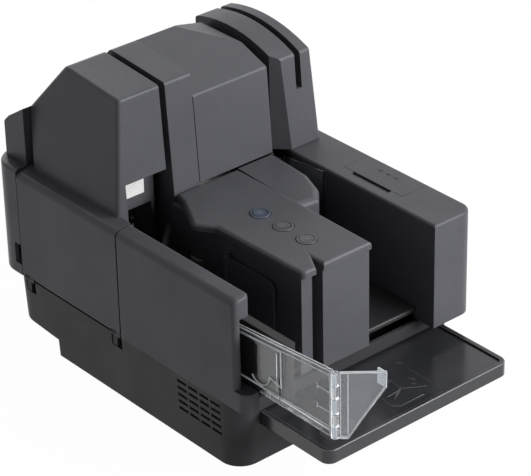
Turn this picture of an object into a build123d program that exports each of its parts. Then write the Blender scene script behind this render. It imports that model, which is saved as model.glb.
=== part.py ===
"""Desktop cheque scanner, built as the separate pieces that it comes apart into.

Lengths are millimetres. Inside this file X runs across the machine from the left edge of its foot,
Y runs back from the front of its foot and Z runs up from its underside. Each piece is moved once,
as it is written, so that the finished part has its origin at the bottom centre of its box.
"""
from build123d import *
from math import atan2, cos, degrees, radians, sin
import os

# ---- Overall sizes -------------------------------------------------------------------------------
foot_width = 169.5          # lower housing, left to right, at its underside
foot_depth = 169.0          # lower housing, front to the step under its rear
housing_depth = 209.0       # front to the rear end, above the step
ledge_z = 117.6             # ledge round the towers, also the top of the control panel
tower_z = 192.5             # top of the towers
tower_front = 112.1         # front of the towers, at the ledge
front_lean = 0.0722         # how far the tower fronts lean back for each millimetre of height
wall = 2.5                  # wall of a moulded cover
sheet = 1.5                 # steel sheet
seam = 0.5                  # visible gap between two covers
clearance = 0.3             # gap beside a moving piece
beyond = 1.0                # how far a cut runs past the face it opens

# ---- Lower housing and what stands in it ---------------------------------------------------------
rim_z = 44.6                # top edge of the lower housing
side_flare = 2.2            # how far each side leans out by the rim
housing_corner = 14.0
step_z = 11.5               # underside of the overhanging rear, at the step
step_rise = 4.0             # how much that underside climbs to the back
housing_floor = 3.0
foot_radius = 7.0
foot_height = 1.5           # how far a rubber foot stands out
foot_seat = 1.0             # how deep it sits in the floor
foot_inset = 22.0
vent_columns = 4
vent_rows = 5
vent_pitch_y = 10.0
vent_pitch_z = 4.8
vent_slot = (8.4, 2.0)      # length and height of one louvre slot
vent_start = (16.5, 20.5)   # y and z of the first slot's centre
post_radius = 5.0
post_inset = 8.5
post_y = (80.0, 160.0)
chassis_z = rim_z + 1.4     # underside of the steel chassis plate
chassis_corner = 11.5
chassis_left = 3.5
floor_z = chassis_z + 7.0   # floors on which the documents stand
floor_thick = 2.6

inlet_x = 40.0
inlet_size = (12.0, 11.0)
inlet_bore = 3.2
inlet_pin = 1.0
inlet_depth = 9.0
usb_x = 70.0
usb_size = (12.0, 11.0)
usb_mouth = (8.4, 7.8)
usb_tongue = (5.6, 3.2)
usb_depth = 8.0
socket_z = 30.0
socket_depth = 16.0
screw_radius = 1.5
screw_length = 8.0
screw_head = (3.0, 1.8)     # radius and height
screw_gap = 0.1
press_gap = 0.02            # a bush stands this far inside its hole

hinge_pin = 0.8             # radius of the cover hinge pins
barrel = 1.6                # radius of the cover hinge barrels
barrel_length = 4.5
left_hinge = (-1.4, rim_z + 0.4)                        # x and z of the left cover's axis
left_hinge_y = (102.4, 188.0)
hinge_pocket = 9.0          # depth of the housing's pocket round a left hinge
cover_lift = 0.8            # hinged side cover starts this far above the rim
cover_edge = 1.5            # rounding of that lower edge

# ---- Covers --------------------------------------------------------------------------------------
overhang = 2.5              # covers stand this far outside the foot of the housing
cover_left = -overhang      # outer face of the side covers
cover_front = -3.5          # front end of the fixed side cover
ridge_drop = 2.0            # the ledge falls this much to the outer ridge
ridge_round = 4.5
lip_round = 2.0             # rounding of the ledge's inner edge
front_cap = 3.8             # thickness of the side cover's front end
cap_round = 3.0
side_lip_x = 9.1            # inner edge of the side covers' ledge
side_seam_y = 101.8         # seam between the fixed side cover and the hinged one
side_gap = 1.1              # width of that seam
rear_seam_y = housing_depth - 9.0                       # seam of the rear cover
rear_corner = 18.0
rear_top_round = 2.0
latch_z = (52.0, 66.0)      # recess beside the rear cover's latch
latch_length = 6.0
latch_depth = 4.5
end_block = (-11.5, 2.5)    # y range of the low block at the side cover's open end
end_block_corner = 6.0
deck_right = foot_width + overhang
deck_left = deck_right - 32.0
deck_front = -14.6
deck_z = ledge_z - 3.6
deck_floor_z = rim_z + 2.4
deck_corner = 9.0
deck_round = 2.0
hatch_y = (24.0, 75.0)
hatch_left = deck_left + 10.5
hatch_thick = 2.4
hatch_hinge = (deck_right - 1.6, deck_z - 1.2)          # x and z of the hatch's axis
finger_dish = (3.5, 1.4)    # width and depth of the finger recess beside the hatch
dot_radius = 1.3            # grip dots on the hatch
dot_height = 0.4
dot_pitch = 6.7
dot_inset = 8.2
hatch_pin_length = 4.0
well_depth = 30.0           # well under the hatch
well_inset = 3.0

# ---- Towers and the paper path -------------------------------------------------------------------
slot_width = 4.4            # gap that a document stands in
slot_left = (45.1, 45.1 + slot_width)                   # walls of the feed-side paper slot
slot_right_x = deck_left - 13.4                         # inner wall of the exit-side paper slot
turn_y = housing_depth - 41.0                           # where the path starts to turn round the centre
strip_right = slot_left[1] + 19.5                       # centre strip ends, centre cover begins
crest_y = turn_y            # highest line of the towers
crest_front_z = tower_z - 3.8                           # front edge of the towers' tops
tower_rear = rear_seam_y - seam
rear_slope_z = tower_z - 35.5                           # height of the towers' rear end
tower_round = 2.4           # rounding of the towers' outer edges
crown_round = 2.4           # rounding where a leaning front meets the top
crest_round = 5.0           # and where the top meets the rear slope
strip_round = 1.4
left_tower_x = 7.5          # foot of the left tower's outer face
left_tower_lean = 8.5       # how far that face leans in by the top
left_tower_turn = 194.0     # its outer face turns inwards behind this
left_tower_cut = 6.0        # how far it has turned in at the rear
hood_left = 6.0
hood_right = deck_left - 10.0
hood_rear_z = ledge_z + 23.4
hood_chamfer = 5.0
hood_round = 3.0
throat_z = ledge_z + 17.9   # underside of the left tower above the feed throat
throat_depth = 14.0
throat_left = left_tower_x + 7.5
centre_front_z = tower_z - 18.3                         # front edge of the centre cover's top
centre_right_z = tower_z - 10.5                         # its top along the right edge
centre_drop = 30.0          # width over which its top falls to the right
fin_left = deck_left - 8.0  # exit-side wall of the right tower
fin_chamfer = 9.0
swipe_slot = (deck_right - 24.2, deck_right - 24.2 + slot_width)    # card slot in the right tower
swipe_lining = 2.0
right_tower_x = deck_right - 8.0                        # foot of the right tower's outer face
right_tower_lean = 4.0
right_tower_z = tower_z - 8.0
right_tower_rear = tower_rear - 9.5
right_shoulder = 9.5        # the arched top starts this far below its crown, at the front
right_tail = 4.0            # and ends this far below it, at the rear
right_crown_y = 150.0
right_round = 3.0
right_edge = 1.6            # rounding of the right tower's outer edges
swipe_floor_z = right_tower_z - 32.5
right_hinge = (right_tower_x + 1.6, deck_z + 2.2)       # x and z of the right tower's axis
right_hinge_y = (122.0, 170.0)
head_y = (142.0, 148.0)
head_z = (swipe_floor_z + 5.0, swipe_floor_z + 13.0)
head_depth = 4.8
head_round = 1.5
centre_hinge = (tower_rear - 2.6, rear_slope_z)         # y and z of the centre cover's axis
centre_hinge_x = (strip_right + 13.0, slot_right_x - 12.6)
lug_radius = 1.2
bracket_foot = 6.0
turn_x = (slot_left[1] + slot_right_x) / 2              # centre of the path's turn
turn_inner = (slot_right_x - slot_left[1]) / 2
turn_outer = turn_inner + slot_width
turn_room = 11.75           # free depth behind the turn, inside the rear cover
rear_y = turn_y + turn_outer + sheet + turn_room + wall # back of the rear cover
hood_rear = rear_y - 6.7
track_top = ledge_z - 0.4   # inner track, just under the centre cover
outer_track_drop = 4.0
roof_z = rear_slope_z - 1.0 # windows and slots stay below this inside the towers
drive_y = turn_y - 22.0      # middle of the path's rollers
sensor_depth = 11.0
sensor_y = (turn_y - 11.0, turn_y - 5.0)
sensor_gap = 0.2            # heads and sensors stand back this far from the path
magnet_y = (drive_y - 17.5, drive_y - 11.5)
magnet_z = (floor_z + 3.0, floor_z + 15.0)
magnet_depth = 7.0
label_size = (15.5, 0.5)    # width and thickness of the bare plate under the throat
label_x = 22.0

# ---- Control block -------------------------------------------------------------------------------
block_right = deck_left - 42.6
block_front = -6.2
block_back = tower_front - seam
block_wall_x = 47.0         # hopper side of the block, under the panel's overhang
block_round = 2.4
notch_x = (54.9, 60.6)      # finger notch in the front of block and panel
notch_back = 2.5
panel_thick = 5.0
panel_front = -7.4
panel_left = 44.8
panel_round = 2.4
panel_corner = 3.5
panel_overhang = 4.0
funnel = ((50.6, block_back), (47.9, 102.0), (35.4, 78.0), (-1.5, 66.0))       # its funnel to the feed slot
nose_y = (54.4, 55.9, 64.0, 80.0, 94.0)                 # corners of the exit hump, front to back
nose_x = (14.6, -6.1, -0.6) # the same, from the block's side and from the slot
nose_z = ledge_z - 2.5      # its top falls to this at the front
nose_rim = 4.5              # rounding of its top's outer edge
nose_round = 1.5
film = 0.8                  # thickness of the clear film beside the exit slot
button_x = block_wall_x + 24.6
button_y = (60.3, 39.9, 19.6)
button_radius = 6.2
button_proud = 0.5
skirt = (1.2, 0.9)          # how far a button's skirt stands out, and its thickness
button_dish = 30.0          # radius of the dish in a button's face
dish_depth = 0.35
board_x = (62.0, 81.0)
board_y = (10.0, 70.0)
board_thick = 1.2
board_drop = 4.0            # under the panel's lower edge
switch_size = (5.0, 2.0)

# ---- Hopper, guide, tray -------------------------------------------------------------------------
liner_x = (11.4, 17.0)
liner_front = -33.0
liner_z = floor_z + 42.3
liner_wall = 1.8
feed_guide_y = (84.0, 109.5)
feed_guide_top = floor_z + 47.0
guide_x = (6.4, 8.4)
guide_front = -73.0
guide_back = 40.0
guide_z = (floor_z + 5.2, floor_z + 47.6)
guide_slope = 9.6           # its top edge falls this much to the back
guide_travel = 30.0
flange_back = cover_front - 14.0                        # the guide's lower flange ends here
flange = (2.0, 1.4)         # how far it stands out, and its thickness
frame_edge = 2.0            # raised frame on the guide's outer face
frame_proud = 0.7
frame_front = guide_front + 42.0
frame_back = guide_front + 79.0
frame_low = guide_z[0] + 3.3
frame_top = (guide_z[1] - 7.6, guide_z[1] - 10.1)       # its height at the front and at the back
rail_wall = 1.4
tongue_reach = 10.0
tongue_thick = 2.6
tongue_lift = 0.4
wing_length = 28.0
wing_angle = 49.0           # from straight ahead towards the right
wing_tip_z = guide_z[1] - 9.6
wing_root = 7.0
wing_thick = 1.8
knuckle_radius = 2.2
knuckle_gap = 0.3
knuckle_z = [guide_z[0] + step for step in (0, 7.8, 15.8, 25.8, 33.8, 42.2)]
pin_radius = 0.9
pusher_x = (44.1, 45.7)
pusher_y = (18.0, 60.0)
pusher_z = (floor_z + 7.0, floor_z + 47.0)
pusher_axis = (45.0, 60.0)
pusher_corner = 5.0
ear = 3.0                   # height of the ears that hold the pusher's pin
tray_x = (16.2, foot_width - 11.5)
tray_front = -59.5
tray_back = 66.0
tray_z = (27.0, 35.7)
tray_corner = 6.0
tray_rim = 2.6
tray_recess = 1.2
tray_floor = 2.4
tray_round = 0.8
rail_width = 4.0
rail_y = (8.0, 120.0)
rail_inset = 12.0

# ---- Boards and cartridge ------------------------------------------------------------------------
main_board_x = (44.0, 132.0)
main_board_y = (92.0, 160.0)
standoff = (2.5, 4.0)       # radius and height
chips = ((26.0, 38.0, 16.0, 16.0, 2.0), (56.0, 44.0, 12.0, 12.0, 2.0), (52.0, 16.0, 10.0, 6.0, 5.0))
capacitor = (3.5, 8.0)      # radius and height
capacitor_x = (66.0, 76.0)
cartridge_gap = (1.0, 3.0, 5.0)                         # its gap to the well's sides, front and rear
cartridge_drop = 7.0        # its top lies this far under the deck
cartridge_round = 2.0
cartridge_grip = (3.0, 8.0, 6.0, 2.5)                   # inset, distance from its front, length, height

# ---- Drive ---------------------------------------------------------------------------------------
shaft_radius = 2.0
shaft_fit = 0.05            # radial running clearance of a shaft in its bearing
bearing_radius = 4.0
roller_radius = 8.0
roller_reach = 0.6          # how far a drive roller stands into the slot
roller_height = 16.0
roller_z = floor_z + 24.0   # middle of the rollers
window_gap = 1.5            # a roller's window is this much larger than the roller
pulley_radius = 7.0
motor_pulley_radius = 5.0
motor_shaft = 1.6
pulley_rim = 0.8
belt_thick = 1.2
belt_gap = 0.3
belt_z = chassis_z - 5.0
belt_width = 6.0
pulley_z = (belt_z - belt_width / 2 - 0.6, belt_z + belt_width / 2 + 0.6)
bearing_plate_z = floor_z + 39.0
motor_spot = (block_wall_x + 30.0, 84.0)
motor_size = (15.0, 34.0)   # radius and length
feed_spot = (block_wall_x + 5.6, 90.0)
drive_spots = ((slot_left[1] + roller_radius - roller_reach, drive_y),
               (slot_right_x - roller_radius + roller_reach, drive_y))
idler_radius = 6.0
idler_gap = 0.4
idler_arms = (roller_z - 14.0, roller_z + 12.0)
arm_reach = 4.0
arm_thick = 2.0
idler_spots = ((drive_spots[0][0] - roller_radius - idler_gap - idler_radius, drive_y),
               (drive_spots[1][0] + roller_radius + idler_gap + idler_radius, drive_y))

wide = (-rear_y, 2 * rear_y)                            # a range past both sides of everything
wing_axis = (sum(guide_x) / 2, guide_front - knuckle_radius)
wing_aim = radians(wing_angle)
wing_reach = wing_axis[1] - wing_length * cos(wing_aim) - wing_thick / 2 * sin(wing_aim)
origin_x = (left_hinge[0] - barrel + deck_right) / 2
origin_y = (wing_reach + rear_y) / 2
to_origin = Pos(-origin_x, -origin_y, foot_height)


# ---- Shape helpers -------------------------------------------------------------------------------
def block(x, y, z):
    """Box between the ends of three ranges."""
    centre = Pos((x[0] + x[1]) / 2, (y[0] + y[1]) / 2, (z[0] + z[1]) / 2)
    return centre * Box(x[1] - x[0], y[1] - y[0], z[1] - z[0])


def column(spot, z, radius):
    """Upright cylinder over a spot in plan."""
    return Pos(spot[0], spot[1], (z[0] + z[1]) / 2) * Cylinder(radius, z[1] - z[0])


def outline(points, corners=0.0):
    """Flat face inside a closed outline, with every corner rounded when a radius is given."""
    face = make_face(Polyline(*points, close=True))
    return fillet(face.vertices(), corners) if corners else face


def upright(points, z, corners=0.0):
    """Prism over an outline seen from above."""
    return extrude(Pos(0, 0, z[0]) * outline(points, corners), z[1] - z[0])


def across(points, x, corners=0.0):
    """Prism along X over an outline of (y, z) points."""
    return extrude(Plane.YZ.offset(x[0]) * outline(points, corners), x[1] - x[0])


def along(points, y, corners=0.0):
    """Prism along Y over an outline of (x, z) points."""
    return extrude(Plane.XZ.offset(-y[1]) * outline(points, corners), y[1] - y[0])


def rectangle(x, y):
    """Corner points of a rectangle in plan."""
    return [(x[0], y[0]), (x[1], y[0]), (x[1], y[1]), (x[0], y[1])]


def soften(body, axis, radius, keep):
    """Round the edges parallel to an axis whose centre passes a test."""
    edges = [edge for edge in body.edges().filter_by(axis) if keep(edge.center())]
    return fillet(edges, radius) if edges else body


def around(span, gap):
    """Range widened at both ends by a gap."""
    return (span[0] - gap, span[1] + gap)


def about(middle, length):
    """Range of a length about its middle."""
    return (middle - length / 2, middle + length / 2)


def front_y(z):
    """Y of the leaning tower fronts at a height."""
    return tower_front + front_lean * (z - ledge_z)


def joined(*solids):
    """Several separate solids kept together as one node."""
    return Compound([solid for group in solids for solid in group.solids()])


# ---- Lower housing -------------------------------------------------------------------------------
def housing_form(inset, top):
    """Flared block of the lower housing with its stepped rear, shrunk by an inset for the cavity."""
    plan = rectangle((inset, foot_width - inset), (inset, housing_depth - inset))
    flare = degrees(atan2(side_flare, rim_z))
    form = extrude(outline(plan, housing_corner - inset), top, taper=-flare)
    step_y = foot_depth - inset
    under = [(step_y, -beyond), (step_y, step_z + inset),
             (rear_y, step_z + step_rise + inset), (rear_y, -beyond)]
    return form - across(under, wide)


def foot_spots():
    """Centres of the four rubber feet in plan."""
    far = (foot_width - foot_inset, foot_depth - foot_inset)
    return [(x, y) for x in (foot_inset, far[0]) for y in (foot_inset, far[1])]


def post_spots():
    """Centres of the posts that carry the chassis plate, clear of the tray."""
    return [(x, y) for x in (post_inset, tray_x[1] + post_radius + 1) for y in post_y]


def hinge_recess(y):
    """Pocket in the housing's rim that one left hinge works in."""
    length = 2 * barrel_length + 3 * clearance
    return block((cover_left - beyond, wall + beyond), (y - clearance, y - clearance + length),
                 (rim_z - hinge_pocket, rim_z + beyond))


def hinge_barrel(axis, y, length, radius):
    """Cylinder along Y about an (x, z) axis, starting at a y."""
    return Pos(axis[0], y + length / 2, axis[1]) * Rot(90, 0, 0) * Cylinder(radius, length)


def pin_bore(axis, y):
    """Bore through both barrels of a cover hinge that starts at a y."""
    return hinge_barrel(axis, y - beyond, 2 * barrel_length + 3 * beyond, hinge_pin + shaft_fit)


def lower_housing():
    """Tub with its vents, tray opening, rear sockets, posts and left hinge barrels."""
    cavity = housing_form(wall, rim_z + beyond) - block(wide, wide, (-beyond, housing_floor))
    body = housing_form(0, rim_z) - cavity
    body -= block(around(tray_x, clearance), (-wall, wall + beyond), around(tray_z, clearance))
    for column_index in range(vent_columns):
        for row in range(vent_rows):
            y = vent_start[0] + column_index * vent_pitch_y
            z = vent_start[1] + row * vent_pitch_z
            through = (cover_left - beyond, wall + beyond)
            body -= block(through, about(y, vent_slot[0]), about(z, vent_slot[1]))
    for spot in foot_spots():
        body -= column(spot, (-beyond, foot_seat), foot_radius)
    body -= socket_box(inlet_x, inlet_size, clearance)
    body -= socket_box(usb_x, usb_size, clearance)
    for spot in post_spots():
        body += column(spot, (housing_floor, chassis_z), post_radius) & housing_form(wall / 2, chassis_z)
        body -= column(spot, (chassis_z - screw_length, chassis_z + beyond), screw_radius)
    for y in left_hinge_y:
        body -= hinge_recess(y)
        start = y + barrel_length + clearance
        tab = block((left_hinge[0], wall / 2), (start, start + barrel_length),
                    (rim_z - hinge_pocket - beyond, left_hinge[1]))
        body += tab + hinge_barrel(left_hinge, start, barrel_length, barrel)
        body -= pin_bore(left_hinge, y)
    return body


def rubber_feet():
    """Four round feet let into the floor of the housing."""
    return joined(*[column(spot, (-foot_height, foot_seat), foot_radius) for spot in foot_spots()])


# ---- Rear sockets --------------------------------------------------------------------------------
def socket_box(x, size, gap):
    """Space that a rear socket fills in the housing's rear wall."""
    return block(about(x, size[0] + 2 * gap), (housing_depth - socket_depth, rear_y),
                 about(socket_z, size[1] + 2 * gap))


def rear_socket(x, size, opening):
    """Socket shell that ends flush with the housing's rear face."""
    rear = housing_depth + side_flare * (socket_z - size[1] / 2) / rim_z
    body = block(about(x, size[0]), (housing_depth - socket_depth, rear), about(socket_z, size[1]))
    return body - opening(rear)


def power_inlet():
    """Round socket for a low-voltage plug, with its centre pin."""
    def opening(rear):
        axis = (inlet_x, socket_z)
        bore = hinge_barrel(axis, rear - inlet_depth, inlet_depth + beyond, inlet_bore)
        return bore - hinge_barrel(axis, rear - inlet_depth, inlet_depth - beyond, inlet_pin)
    return rear_socket(inlet_x, inlet_size, opening)


def usb_port():
    """Square socket of the data lead, with its contact tongue."""
    def opening(rear):
        depth = (rear - usb_depth, rear + beyond)
        mouth = block(about(usb_x, usb_mouth[0]), depth, about(socket_z, usb_mouth[1]))
        tongue = (depth[0], rear - beyond)
        return mouth - block(about(usb_x, usb_tongue[0]), tongue, about(socket_z, usb_tongue[1]))
    return rear_socket(usb_x, usb_size, opening)


# ---- Side, rear and deck covers ------------------------------------------------------------------
def ledge_profile(inset):
    """Top of a side cover's section (x, z): ridge over the outer face, and the ledge's inner end."""
    return [(cover_left + inset, ledge_z - ridge_drop - inset), (side_lip_x - inset, ledge_z - inset)]


def ridged(body, inset):
    """Rounds the ridge between a side cover's outer face and its ledge."""
    middle = ledge_profile(inset)[0]
    return soften(body, Axis.Y, ridge_round - inset,
                  lambda c: abs(c.X - middle[0]) < seam and abs(c.Z - middle[1]) < seam)


def hopper_side_cover():
    """Fixed side cover beside the hopper, open at its front end for the clear guide."""
    ends = (cover_front, side_seam_y)
    outer = ridged(along([(cover_left, rim_z), *ledge_profile(0), (side_lip_x, rim_z)], ends), 0)
    outer = soften(outer, Axis.Y, lip_round, lambda c: c.X > side_lip_x - seam and c.Z > rim_z + seam)
    front = outer.faces().sort_by(Axis.Y)[0]
    outer = fillet([e for e in front.edges() if e.center().Z > rim_z + beyond], cap_round)
    low = rim_z - beyond
    section = [(cover_left + wall, low), *ledge_profile(wall), (side_lip_x - wall, low)]
    body = outer - ridged(along(section, (cover_front + front_cap, side_seam_y + beyond)), wall)
    channel_x = (cover_left + front_cap, side_lip_x + beyond)
    body -= block(channel_x, around(ends, beyond), (low, guide_z[1] + wall))
    end = upright(rectangle((cover_left, guide_x[1] - beyond), end_block), (rim_z, guide_z[0] - beyond))
    return body + soften(end, Axis.Z, end_block_corner, lambda c: c.Y < cover_front and c.X < 0)


def tower_profile(rear, inset=0.0, low=ledge_z - 3 * wall):
    """Side outline (y, z) of a tower: leaning front, crown, crest and rear slope."""
    slope = (tower_z - rear_slope_z) / (tower_rear - crest_y)
    rear_z = tower_z - slope * (rear - crest_y)
    points = [(front_y(crest_front_z), crest_front_z), (crest_y, tower_z), (rear, rear_z), (rear, low)]
    points += [(tower_front, low), (tower_front, ledge_z)] if low < ledge_z else [(front_y(low), low)]
    face = outline(points)
    top = sorted(face.vertices(), key=lambda v: -v.Y)
    face = fillet(top[0], crest_round)
    face = fillet(min(face.vertices(), key=lambda v: abs(v.X - points[0][0]) + abs(v.Y - points[0][1])), crown_round)
    return offset(face, amount=-inset, kind=Kind.INTERSECTION) if inset else face


def tower_block(x, rear, inset=0.0, low=ledge_z - 3 * wall):
    """Tower side outline carried across a range of X."""
    return extrude(Plane.YZ.offset(x[0] + inset) * tower_profile(rear, inset, low), x[1] - x[0] - 2 * inset)


def left_tower_waste(inset):
    """What the leaning outer face and its rear turn take off the left tower's block."""
    foot = left_tower_x + inset
    lean = [(-rear_y, floor_z), (foot, floor_z), (foot, ledge_z), (foot + left_tower_lean, tower_z),
            (foot + left_tower_lean, rear_y), (-rear_y, rear_y)]
    turn = [(cover_left, left_tower_turn), (foot, left_tower_turn - inset),
            (foot + left_tower_cut, tower_rear + wall), (cover_left, tower_rear + wall)]
    return along(lean, (0, rear_y)) + upright(turn, (floor_z, rear_y))


def left_cover():
    """Hinged side cover with the left tower, its ledge and the outer wall of the feed slot."""
    low = rim_z + cover_lift
    right = slot_left[0]
    ends = (side_seam_y + side_gap, rear_seam_y - seam)
    skin = along([(cover_left, low)] + ledge_profile(0) + [(side_lip_x, low)], ends)
    skin = ridged(skin, 0)
    skin = soften(skin, Axis.Y, cover_edge, lambda c: c.X < cover_left + seam and c.Z < low + seam)
    inside = [(cover_left + wall, rim_z), *ledge_profile(wall), (right, ledge_z - wall), (right, rim_z)]
    skin -= ridged(along(inside, around(ends, beyond)), wall)
    skin += block((side_lip_x - beyond, right), (tower_front + beyond, ends[1]), (ledge_z - wall, ledge_z))
    outside_x = (left_tower_x - wall, right)
    tower = tower_block(outside_x, tower_rear) - left_tower_waste(0)
    above = tower & block(wide, wide, (ledge_z, rear_y))
    outside = [e for e in above.edges() if e.center().Z > ledge_z + beyond and e.center().X < throat_left
               and e.center().Y < left_tower_turn]
    tower = fillet(outside, tower_round) + (tower & block(wide, wide, (0, ledge_z)))
    hollow = tower_block(outside_x, tower_rear, wall) - left_tower_waste(wall)
    body = skin + tower - (hollow - throat(wall)) - throat(0)
    slot_y = (tower_front + throat_depth, turn_y - clearance)
    body += block((right - wall, right), slot_y, (floor_z + seam, roof_z))
    return left_hinge_barrels(left_cover_windows(body))


def throat(lining):
    """Space above the left end of the hopper, open to the front and to the feed slot."""
    front = tower_front - throat_depth
    return block((throat_left - lining, slot_left[0] + beyond), (front, tower_front + throat_depth + lining),
                 (ledge_z - throat_depth, throat_z + lining))


def left_cover_windows(body):
    """Cuts the slot wall's windows for the idler and the heads, and adds the idler's arms."""
    right = slot_left[0]
    through = (right - wall - beyond, right + beyond)
    body -= block(through, about(drive_y, 2 * (roller_radius + arm_thick)), roller_window())
    behind = (right - sensor_depth - beyond, right + beyond)
    body -= block(behind, around(sensor_y, clearance), sensor_z(beyond))
    body -= block(through, around(magnet_y, clearance), around(magnet_z, clearance))
    relief = column((turn_x, turn_y), (floor_z, ledge_z - wall), turn_outer + sheet + clearance)
    body -= relief & block((0, rear_y), (turn_y - clearance, rear_y), (0, rear_y))
    return idler_bearings(body, idler_spots[0], (idler_spots[0][0] - arm_reach, right))


def idler_bearings(body, spot, arm_x):
    """Clears an idler's shaft from a wall and adds the two arms that hold it."""
    shaft_z = (idler_arms[0] - arm_thick, idler_arms[1] + 2 * arm_thick + beyond)
    body -= column(spot, shaft_z, shaft_radius + clearance)
    for height in idler_arms:
        arm = block(arm_x, about(spot[1], 2 * arm_reach), (height, height + arm_thick))
        body += arm - column(spot, (0, rear_y), shaft_radius + shaft_fit)
    return body


def left_hinge_barrels(body):
    """Adds the left cover's hinge barrels and clears the housing's barrels beside them."""
    for y in left_hinge_y:
        body += hinge_barrel(left_hinge, y, barrel_length, barrel)
        start = y + barrel_length + clearance / 2
        body -= block((cover_left - beyond, barrel - hinge_pin), (start, start + barrel_length + clearance),
                      around((left_hinge[1], left_hinge[1]), barrel + seam))
        body -= pin_bore(left_hinge, y)
    return body


def roller_window():
    """Range of Z that the path rollers need."""
    return about(roller_z, roller_height + 2 * window_gap)


def rear_cover():
    """Cover that wraps the rear, with its ledge, closed underside and latch recess."""
    start = rear_seam_y - rear_corner
    outer = upright(rectangle((cover_left, deck_right), (start, rear_y)), (rim_z, ledge_z))
    outer = soften(outer, Axis.Z, rear_corner, lambda c: c.Y > rear_seam_y)
    inner = upright(rectangle((cover_left + wall, deck_right - wall), (start - beyond, rear_y - wall)),
                    (rim_z + wall, ledge_z - wall))
    inner = soften(inner, Axis.Z, rear_corner - wall, lambda c: c.Y > rear_seam_y)
    top = outer.faces().sort_by(Axis.Z)[-1]
    outer = fillet([e for e in top.edges() if e.center().Y > start + beyond], rear_top_round)
    body = outer - inner - block(wide, (start - beyond, rear_seam_y), wide)
    body -= housing_form(-seam, rim_z + wall + beyond) & block(wide, (0, housing_depth), (0, rear_y))
    under_hood = around((ledge_z - wall, ledge_z), beyond)
    body -= block((hood_left + wall, hood_right - wall), (0, hood_rear - wall), under_hood)
    return body - block((cover_left - beyond, cover_left + latch_depth),
                        (rear_seam_y - beyond, rear_seam_y + latch_length), latch_z)


def hood_profile():
    """Side outline (y, z) of the rear hood, which carries the towers' rear slope down."""
    start = tower_rear + clearance
    return [(start, ledge_z), (start, roof_z), (hood_rear - hood_chamfer, hood_rear_z + hood_chamfer),
            (hood_rear, hood_rear_z), (hood_rear, ledge_z)]


def rear_hood():
    """Low hood behind the towers, over the turn of the paper path."""
    outer = across(hood_profile(), (hood_left, hood_right))
    outer = soften(outer, Axis.X, hood_round, lambda c: c.Z > throat_z and c.Y > rear_seam_y + hood_round)
    face = offset(make_face(Polyline(*hood_profile(), close=True)), amount=-wall, kind=Kind.INTERSECTION)
    inner = extrude(Plane.YZ.offset(hood_left + wall) * face, hood_right - hood_left - 2 * wall)
    low = Pos(0, 0, -wall - beyond) * inner
    mouth = block((throat_left + wall, hood_right - hood_chamfer - wall), (0, rear_y), (0, rear_y))
    return outer - inner - low - Pos(0, -wall - beyond, 0) * (inner & mouth)


def right_deck():
    """Deck at the right with its outer wall, pocket wall, closed front foot and hatch well."""
    ends = (deck_front, rear_seam_y - seam)
    outer = block((deck_left, deck_right), ends, (rim_z, deck_z))
    outer = soften(outer, Axis.Z, deck_corner, lambda c: c.Y < 0 and c.X > hatch_left)
    top = outer.faces().sort_by(Axis.Z)[-1]
    outer = fillet([e for e in top.edges() if e.center().Y < tower_rear - beyond], deck_round)
    body = outer - block((deck_left + wall, deck_right - wall), (deck_front + wall, rear_y),
                         (deck_floor_z, deck_z - wall))
    body -= block((deck_left - beyond, deck_right - wall), (wall, rear_y), (0, floor_z - floor_thick))
    body -= block((deck_left - beyond, deck_left + wall + beyond), (tower_front, rear_y), (0, deck_z - wall))
    well_x, well_y, well_z = well_ranges()
    body += block(around(well_x, sheet), around(well_y, sheet), (well_z[0] - sheet, deck_z - wall))
    body -= block(well_x, well_y, well_z)
    return hatch_seat(right_hinge_posts(body))


def well_ranges():
    """X, Y and Z ranges of the well under the hatch."""
    return ((hatch_left + well_inset, deck_right - wall - well_inset), around(hatch_y, -well_inset),
            (deck_z - well_depth, deck_z + beyond))


def right_hinge_posts(body):
    """Adds the deck's hinge barrels for the right tower."""
    for y in right_hinge_y:
        start = y + barrel_length + clearance
        post_z = (deck_z - beyond, right_hinge[1])
        post = block(about(right_hinge[0], 2 * beyond), (start, start + barrel_length), post_z)
        body += post + hinge_barrel(right_hinge, start, barrel_length, barrel)
        body -= pin_bore(right_hinge, y)
    return body


def hatch_seat(body):
    """Cuts the deck's seat for the hatch, its hinge, and the finger recess beside it."""
    above = deck_z + beyond
    lid_x = (hatch_left - clearance, deck_right + beyond)
    body -= block(lid_x, around(hatch_y, clearance), (deck_z - hatch_thick, above))
    body -= block((hatch_left - finger_dish[0], hatch_left + beyond), around(hatch_y, -deck_corner),
                  (deck_z - finger_dish[1], above))
    for y in hatch_y:
        body -= hinge_barrel(hatch_hinge, y - hatch_pin_length, 2 * hatch_pin_length, hinge_pin + shaft_fit)
    swing = deck_right - hatch_hinge[0] + seam
    seat = around(hatch_y, clearance)
    return body - hinge_barrel(hatch_hinge, seat[0], seat[1] - seat[0], swing)


def hatch():
    """Small lid in the deck with three grip dots, hinged along the deck's right edge."""
    top = deck_z
    body = block((hatch_left, deck_right), hatch_y, (top - hatch_thick + clearance, top))
    body = soften(body, Axis.Y, deck_round, lambda c: c.X > hatch_hinge[0] and c.Z > hatch_hinge[1])
    for step in (-dot_pitch, 0.0, dot_pitch):
        body += column((deck_right - dot_inset, sum(hatch_y) / 2 + step), (top, top + dot_height), dot_radius)
    length = hatch_y[1] - hatch_y[0] + 2 * beyond
    return body - hinge_barrel(hatch_hinge, hatch_y[0] - beyond, length, hinge_pin + shaft_fit)


# ---- Floors and steel ----------------------------------------------------------------------------
def floor_range():
    """Z range of the document floors."""
    return (floor_z - floor_thick, floor_z)


def hopper_floor():
    """Floor of the feed hopper, between the liner and the control block."""
    x = (liner_x[0] - beyond, block_wall_x - clearance)
    return block(x, (cover_front + beyond, tower_front - clearance), floor_range())


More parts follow.
